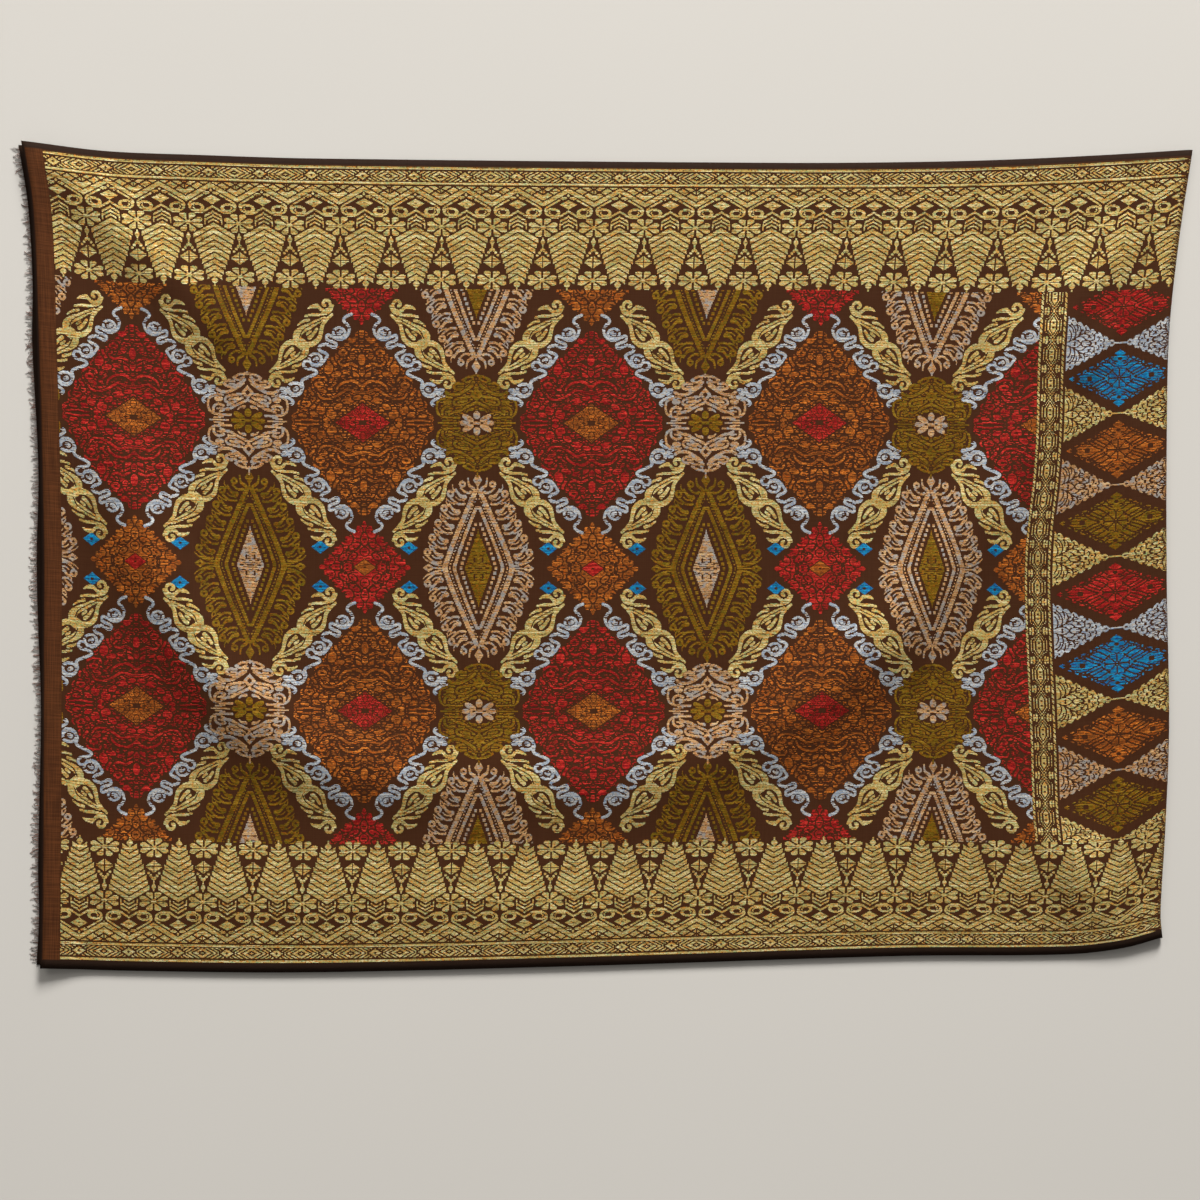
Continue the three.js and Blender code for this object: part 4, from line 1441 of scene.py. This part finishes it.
def add_bump(tree, height, shader, strength, distance):
    """Bump from a height into the shader's normal."""
    bump = tree.nodes.new("ShaderNodeBump")
    bump.inputs["Strength"].default_value = strength
    bump.inputs["Distance"].default_value = distance
    tree.links.new(height, bump.inputs["Height"])
    tree.links.new(bump.outputs["Normal"], shader.inputs["Normal"])


def yarn_material(name, yarn, main):
    """Dyed or metal-wrapped pattern yarn, its main dye from the settings, with a painted shade and painted
    highlight that change from float to float.
    """
    material, tree, shader, cloth = cloth_material(name)
    deep, light, warm, cool = (tone(*swatch) for swatch in YARN_PAINTED_LIGHT_AND_TINTS[yarn])
    metallic, specular, shade_and_tone_patches, drift = METAL_FINISH_AND_SHADE.get(yarn, SILK_FINISH_AND_SHADE)
    glint = tree.nodes.new("ShaderNodeAttribute")
    glint.attribute_name = "glint"
    tint = tree.nodes.new("ShaderNodeGroup")
    tint.node_tree = yarn_tint_and_light_group()
    colour_inputs = {"Deep": deep, "Main": tuple(main), "Light": light, "Warm": warm, "Cool": cool}
    for socket, swatch in colour_inputs.items():
        tint.inputs[socket].default_value = swatch
    tint.inputs["Shade And Tone Patches"].default_value = shade_and_tone_patches
    tint.inputs["Drift"].default_value = drift
    tree.links.new(glint.outputs["Fac"], tint.inputs["Glint"])
    tree.links.new(cloth, tint.inputs["Cloth"])
    tree.links.new(tint.outputs["Colour"], shader.inputs["Base Color"])
    rough = range_node(tree, glint.outputs["Fac"], 0.0, 1.0, *YARN_ROUGHNESS)
    tree.links.new(rough, shader.inputs["Roughness"])
    shader.inputs["Metallic"].default_value = metallic
    shader.inputs["Specular IOR Level"].default_value = specular
    add_bump(tree, tint.outputs["Twist"], shader, *YARN_BUMP)
    return material


def ground_material(settings):
    """Brown plain weave with dark selvedges, a painted shade under the pattern where the floats would shadow
    it, and a painted shadow at the cut ends where the layers part.
    """
    material, tree, shader, cloth = cloth_material("brown_ground")
    weave = tree.nodes.new("ShaderNodeGroup")
    weave.node_tree = plain_weave_group()
    weave.inputs["Threads"].default_value = settings.ground_threads
    tree.links.new(cloth, weave.inputs["Cloth"])
    split = tree.nodes.new("ShaderNodeSeparateXYZ")
    tree.links.new(cloth, split.inputs[0])
    near = (NEAR_SELVEDGE - HALF_WIDTH - SELVEDGE_LAP) * STEP
    far = (HALF_WIDTH - FAR_SELVEDGE + SELVEDGE_LAP) * STEP
    in_near = range_node(tree, split.outputs["Y"], near + MM, near - MM)
    in_far = range_node(tree, split.outputs["Y"], far - MM, far + MM)
    deep = tuple(settings.ground_shade)
    lit = range_node(tree, weave.outputs["Shade"], *SHADE_RANGE)
    body = blend_node(tree, lit, deep, tuple(settings.ground_colour))
    # Painted shadow: the lower layer's cut end and the upper layer's open end are darkened where the gap
    # between the layers falls in shade
    dark, darkest = (flat_length() - length * MM for length in LOWER_END_PAINTED_SHADOW)
    lower_end_shadow = range_node(tree, split.outputs["X"], dark, darkest)
    dark, darkest = (length * MM for length in UPPER_END_PAINTED_SHADOW)
    upper_end_shadow = range_node(tree, split.outputs["X"], dark, darkest)
    painted_end_shadow = math_node(tree, "MAXIMUM", lower_end_shadow, upper_end_shadow)
    selvedge_and_end_shadow = math_node(tree, "MAXIMUM", math_node(tree, "MAXIMUM", in_near, in_far), painted_end_shadow)
    # Painted shade: the ground under the pattern is darkened where the floats would shadow it
    field_start = PLAIN_END * STEP
    painted_float_shade = range_node(tree, split.outputs["X"], field_start - STEP, field_start, 0.0, FLOAT_PAINTED_SHADE)
    body = blend_node(tree, painted_float_shade, body, deep)
    surface_colour = blend_node(tree, selvedge_and_end_shadow, body, tuple(settings.selvedge_and_shadow_colour))
    tree.links.new(surface_colour, shader.inputs["Base Color"])
    rough = range_node(tree, weave.outputs["Shade"], *GROUND_ROUGH_RANGE, *GROUND_ROUGHNESS)
    tree.links.new(rough, shader.inputs["Roughness"])
    shader.inputs["Specular IOR Level"].default_value = GROUND_SPECULAR
    add_bump(tree, weave.outputs["Height"], shader, *GROUND_BUMP)
    return material


def thread_material(settings):
    """Loose brown weft threads, paler where they are worn."""
    material, tree, shader = new_material("loose_weft_threads")
    place = tree.nodes.new("ShaderNodeTexCoord")
    wear = streak_node(tree, place.outputs["Object"], WEAR_SIZE)
    worn = range_node(tree, wear, *WEAR_RANGE)
    surface_colour = blend_node(tree, worn, tuple(settings.thread_colour), tuple(settings.worn_colour))
    tree.links.new(surface_colour, shader.inputs["Base Color"])
    rough = range_node(tree, wear, *THREAD_ROUGH_RANGE, *THREAD_ROUGHNESS)
    tree.links.new(rough, shader.inputs["Roughness"])
    shader.inputs["Sheen Weight"].default_value = THREAD_SHEEN
    return material


def floor_material(settings):
    """Pale matt floor with a faint unevenness."""
    material, tree, shader = new_material("pale_floor")
    place = tree.nodes.new("ShaderNodeTexCoord")
    cloud = streak_node(tree, place.outputs["Object"], CLOUD_SIZE)
    pale = tuple(settings.floor_colour)
    darker = (*(FLOOR_CLOUD * value for value in pale[:3]), 1.0)
    tree.links.new(blend_node(tree, cloud, darker, pale), shader.inputs["Base Color"])
    shader.inputs["Roughness"].default_value = 1.0
    shader.inputs["Specular IOR Level"].default_value = 0.0
    return material


# Settings

def length_property(name, description, default):
    """Length in metres."""
    return bpy.props.FloatProperty(
        name=name, description=description, default=default, min=0.0, unit="LENGTH",
    )


def power_property(name, description, default):
    """Power of a light in watts."""
    return bpy.props.FloatProperty(
        name=name, description=description, default=default, min=0.0, unit="POWER",
    )


def colour_property(name, description, default):
    """Colour with its default given as a linear colour."""
    return bpy.props.FloatVectorProperty(
        name=name, description=description, default=default, size=4, min=0.0, max=1.0, subtype="COLOR",
    )


class WrapSheetSettings(bpy.types.PropertyGroup):
    """Sizes and colours of the ground cloth."""

    thickness: length_property("Thickness", "Thickness of one layer", SHEET_THICKNESS * MM)
    cell_size: length_property("Cell size", "Mesh cells of the upper layer", 8 * MM)
    lower_cell_size: length_property("Lower cell size", "Mesh cells of the lower layer, along it", 24 * MM)
    ground_threads: bpy.props.FloatProperty(
        name="Threads a metre",
        description="Threads of the plain weave in a metre",
        default=1800.0,
        min=100.0,
    )
    ground_colour: colour_property("Ground", "Lit thread of the plain weave", tone(88, 48, 20))
    ground_shade: colour_property("Ground shade", "Deep thread of the plain weave", tone(56, 29, 10))
    # Its colour is also the painted shadow at the cut ends
    selvedge_and_shadow_colour: colour_property("Selvedge", "Dark selvedges", tone(34, 20, 11))


class WrapYarnSettings(bpy.types.PropertyGroup):
    """Sizes and colours of the pattern yarns."""

    float_height: length_property("Float height", "How far a float stands off the ground cloth", 0.38 * MM)
    end_slope: length_property("End slope", "Length over which a float rises from its tie", 0.9 * MM)
    gold: colour_property("Gold", "Metal-wrapped gold yarn", tone(218, 190, 108))
    silver: colour_property("Silver", "Metal-wrapped silver yarn", tone(188, 196, 202))
    lace: colour_property("Rose silver", "Rose silver yarn", tone(202, 158, 104))
    red: colour_property("Red", "Red silk yarn", tone(161, 25, 27))
    rust: colour_property("Rust", "Rust silk yarn", tone(152, 84, 32))
    olive: colour_property("Olive", "Olive silk yarn", tone(124, 92, 14))
    blue: colour_property("Blue", "Blue silk yarn", tone(8, 118, 166))


class WrapFraySettings(bpy.types.PropertyGroup):
    """Sizes and colours of the loose threads."""

    threads: bpy.props.IntProperty(
        name="Threads", description="Loose threads along the end", default=460, min=2,
    )
    thread_length: length_property("Thread length", "Longest loose thread", 8.0 * MM)
    thread_radius: length_property("Thread radius", "Radius of a loose thread", 0.6 * MM)
    spread: bpy.props.FloatProperty(
        name="Spread",
        description="How far a thread leans to either side",
        default=0.5,
        min=0.0,
        subtype="ANGLE",
    )
    thread_colour: colour_property("Thread", "Loose threads", tone(64, 34, 22))
    worn_colour: colour_property("Worn thread", "Worn, pale threads", tone(112, 66, 44))


class WrapStageSettings(bpy.types.PropertyGroup):
    """Floor, light and camera."""

    floor_colour: colour_property("Floor", "Pale floor", tone(190, 188, 184))
    frame_width: length_property("Frame width", "Width of the view on the cloth", 1.32)
    lens: bpy.props.FloatProperty(
        name="Lens", description="Focal length", default=85.0, min=10.0, subtype="DISTANCE_CAMERA",
    )
    key_power: power_property("Key", "Key light", 345.0)
    fill_power: power_property("Fill", "Fill light", 37.0)


# Operators

def border_rows():
    """Last row of the near border and first row of the far border."""
    near = int(round((HALF_WIDTH - FIELD_HALF) / CELL_Y))
    return near, LOOM_ROWS - near


class WRAP_OT_metal_floats(bpy.types.Operator):
    """Weave the gold, silver and rose silver floats"""

    bl_idname = "wrap.metal_floats"
    bl_label = "Metal Floats"

    def execute(self, context):
        settings = context.scene.wrap_yarn
        near, far = border_rows()
        gold = yarn_material("gold_yarn", GOLD, settings.gold)
        silver = yarn_material("silver_yarn", SILVER, settings.silver)
        rose = yarn_material("rose_silver_yarn", LACE, settings.lace)
        float_piece("gold_near_border", GOLD, 0, near, settings, gold)
        float_piece("gold_field", GOLD, near, far, settings, gold)
        float_piece("gold_far_border", GOLD, far, LOOM_ROWS, settings, gold)
        float_piece("silver_ribbons", SILVER, 0, LOOM_ROWS, settings, silver)
        float_piece("rose_silver_lace", LACE, 0, LOOM_ROWS, settings, rose)
        return {"FINISHED"}


class WRAP_OT_silk_floats(bpy.types.Operator):
    """Weave the red, rust, olive and blue floats"""

    bl_idname = "wrap.silk_floats"
    bl_label = "Silk Floats"

    def execute(self, context):
        settings = context.scene.wrap_yarn
        yarns = (
            ("red_silk", RED, settings.red),
            ("rust_silk", RUST, settings.rust),
            ("olive_silk", OLIVE, settings.olive),
            ("blue_silk", BLUE, settings.blue),
        )
        for name, yarn, main in yarns:
            material = yarn_material(name + "_yarn", yarn, main)
            float_piece(name, yarn, 0, LOOM_ROWS, settings, material)
        return {"FINISHED"}


class WRAP_OT_loose_threads(bpy.types.Operator):
    """Set loose threads along the lower layer's cut end"""

    bl_idname = "wrap.loose_threads"
    bl_label = "Loose Threads"

    def execute(self, context):
        settings = context.scene.wrap_fray
        piece = fray_piece(settings, thread_material(settings))
        settle(piece)
        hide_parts("frayed_end")
        return {"FINISHED"}


class WRAP_OT_ground_cloth(bpy.types.Operator):
    """Lay the folded ground cloth that carries the floats"""

    bl_idname = "wrap.ground_cloth"
    bl_label = "Ground Cloth"

    def execute(self, context):
        settings = context.scene.wrap_sheet
        piece = sheet_piece(settings, ground_material(settings))
        settle(piece)
        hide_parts("folded_cloth")
        return {"FINISHED"}


# Stage

def aim_light(name, light, place, target):
    """Hang a light at a place so that it looks at a target."""
    light.color = LIGHT_COLOUR
    lamp = bpy.data.objects.new(name, light)
    lamp.location = place
    way = Vector(target) - Vector(place)
    lamp.rotation_euler = way.to_track_quat("-Z", "Y").to_euler()
    bpy.context.scene.collection.objects.link(lamp)


def area_light(name, place, target, size, power, spread):
    """Soft warm square light that looks at a target, its spread in degrees."""
    light = bpy.data.lights.new(name, "AREA")
    light.size = size
    light.energy = power
    light.spread = np.radians(spread)
    aim_light(name, light, place, target)


def far_light(name, place, strength):
    """Even soft light along the key's way, which keeps the far floor as pale as what is behind it."""
    light = bpy.data.lights.new(name, "SUN")
    light.energy = strength
    light.angle = np.radians(FAR_ANGLE)
    aim_light(name, light, place, (0, 0, 0))


def floor_piece(settings):
    """Wide round floor just under the cloth."""
    turn = np.linspace(0, 2 * np.pi, FLOOR_SIDES, endpoint=False)
    level = np.full(FLOOR_SIDES, -FLOOR_DROP)
    points = np.stack([FLOOR_RADIUS * np.cos(turn), FLOOR_RADIUS * np.sin(turn), level], axis=1)
    return mesh_piece("floor", points, np.arange(FLOOR_SIDES), [0], floor_material(settings))


class WRAP_OT_studio(bpy.types.Operator):
    """Set the pale floor, the soft light and the camera straight above the cloth"""

    bl_idname = "wrap.studio"
    bl_label = "Studio"

    def execute(self, context):
        settings = context.scene.wrap_stage
        scene = context.scene
        floor_piece(settings)
        world = bpy.data.worlds.new("studio")
        world.use_nodes = True
        background = world.node_tree.nodes["Background"]
        background.inputs["Color"].default_value = WORLD_COLOUR
        background.inputs["Strength"].default_value = WORLD_STRENGTH
        scene.world = world
        area_light("key", KEY_PLACE, (0, 0, 0), KEY_SIZE, settings.key_power, KEY_SPREAD)
        area_light("fill", FILL_PLACE, FILL_TARGET, FILL_SIZE, settings.fill_power, FILL_SPREAD)
        far_light("far_key", KEY_PLACE, FAR_STRENGTH)
        camera = bpy.data.cameras.new("camera")
        camera.lens = settings.lens
        camera.sensor_width = SENSOR_WIDTH
        camera.dof.use_dof = False
        view = bpy.data.objects.new("camera", camera)
        shift = plan_shift() * MM
        view.location = (-shift[0], -shift[1], settings.frame_width * settings.lens / SENSOR_WIDTH)
        scene.collection.objects.link(view)
        scene.camera = view
        scene.view_settings.view_transform = "Standard"
        return {"FINISHED"}


class WRAP_PT_panel(bpy.types.Panel):
    """Pieces and settings of the waist wrap"""

    bl_label = "Waist Wrap"
    bl_idname = "WRAP_PT_panel"
    bl_space_type = "VIEW_3D"
    bl_region_type = "UI"
    bl_category = "Waist Wrap"

    def draw(self, context):
        for operator in OPERATORS:
            self.layout.operator(operator.bl_idname)
        for name in SETTINGS:
            group = getattr(context.scene, name)
            for setting in group.__annotations__:
                self.layout.prop(group, setting)


SETTINGS = {
    "wrap_sheet": WrapSheetSettings,
    "wrap_yarn": WrapYarnSettings,
    "wrap_fray": WrapFraySettings,
    "wrap_stage": WrapStageSettings,
}
OPERATORS = (
    WRAP_OT_metal_floats,
    WRAP_OT_silk_floats,
    WRAP_OT_loose_threads,
    WRAP_OT_ground_cloth,
    WRAP_OT_studio,
)


def register():
    """Register the settings, the operators and the panel."""
    for name, settings in SETTINGS.items():
        bpy.utils.register_class(settings)
        setattr(bpy.types.Scene, name, bpy.props.PointerProperty(type=settings))
    for operator in OPERATORS:
        bpy.utils.register_class(operator)
    bpy.utils.register_class(WRAP_PT_panel)


def unregister():
    """Remove what register added."""
    bpy.utils.unregister_class(WRAP_PT_panel)
    for operator in reversed(OPERATORS):
        bpy.utils.unregister_class(operator)
    for name, settings in SETTINGS.items():
        delattr(bpy.types.Scene, name)
        bpy.utils.unregister_class(settings)


def main():
    """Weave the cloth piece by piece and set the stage."""
    register()
    bpy.ops.wrap.metal_floats()
    bpy.ops.wrap.silk_floats()
    bpy.ops.wrap.loose_threads()
    bpy.ops.wrap.ground_cloth()
    bpy.ops.wrap.studio()
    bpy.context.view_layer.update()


if __name__ == "__main__":
    main()
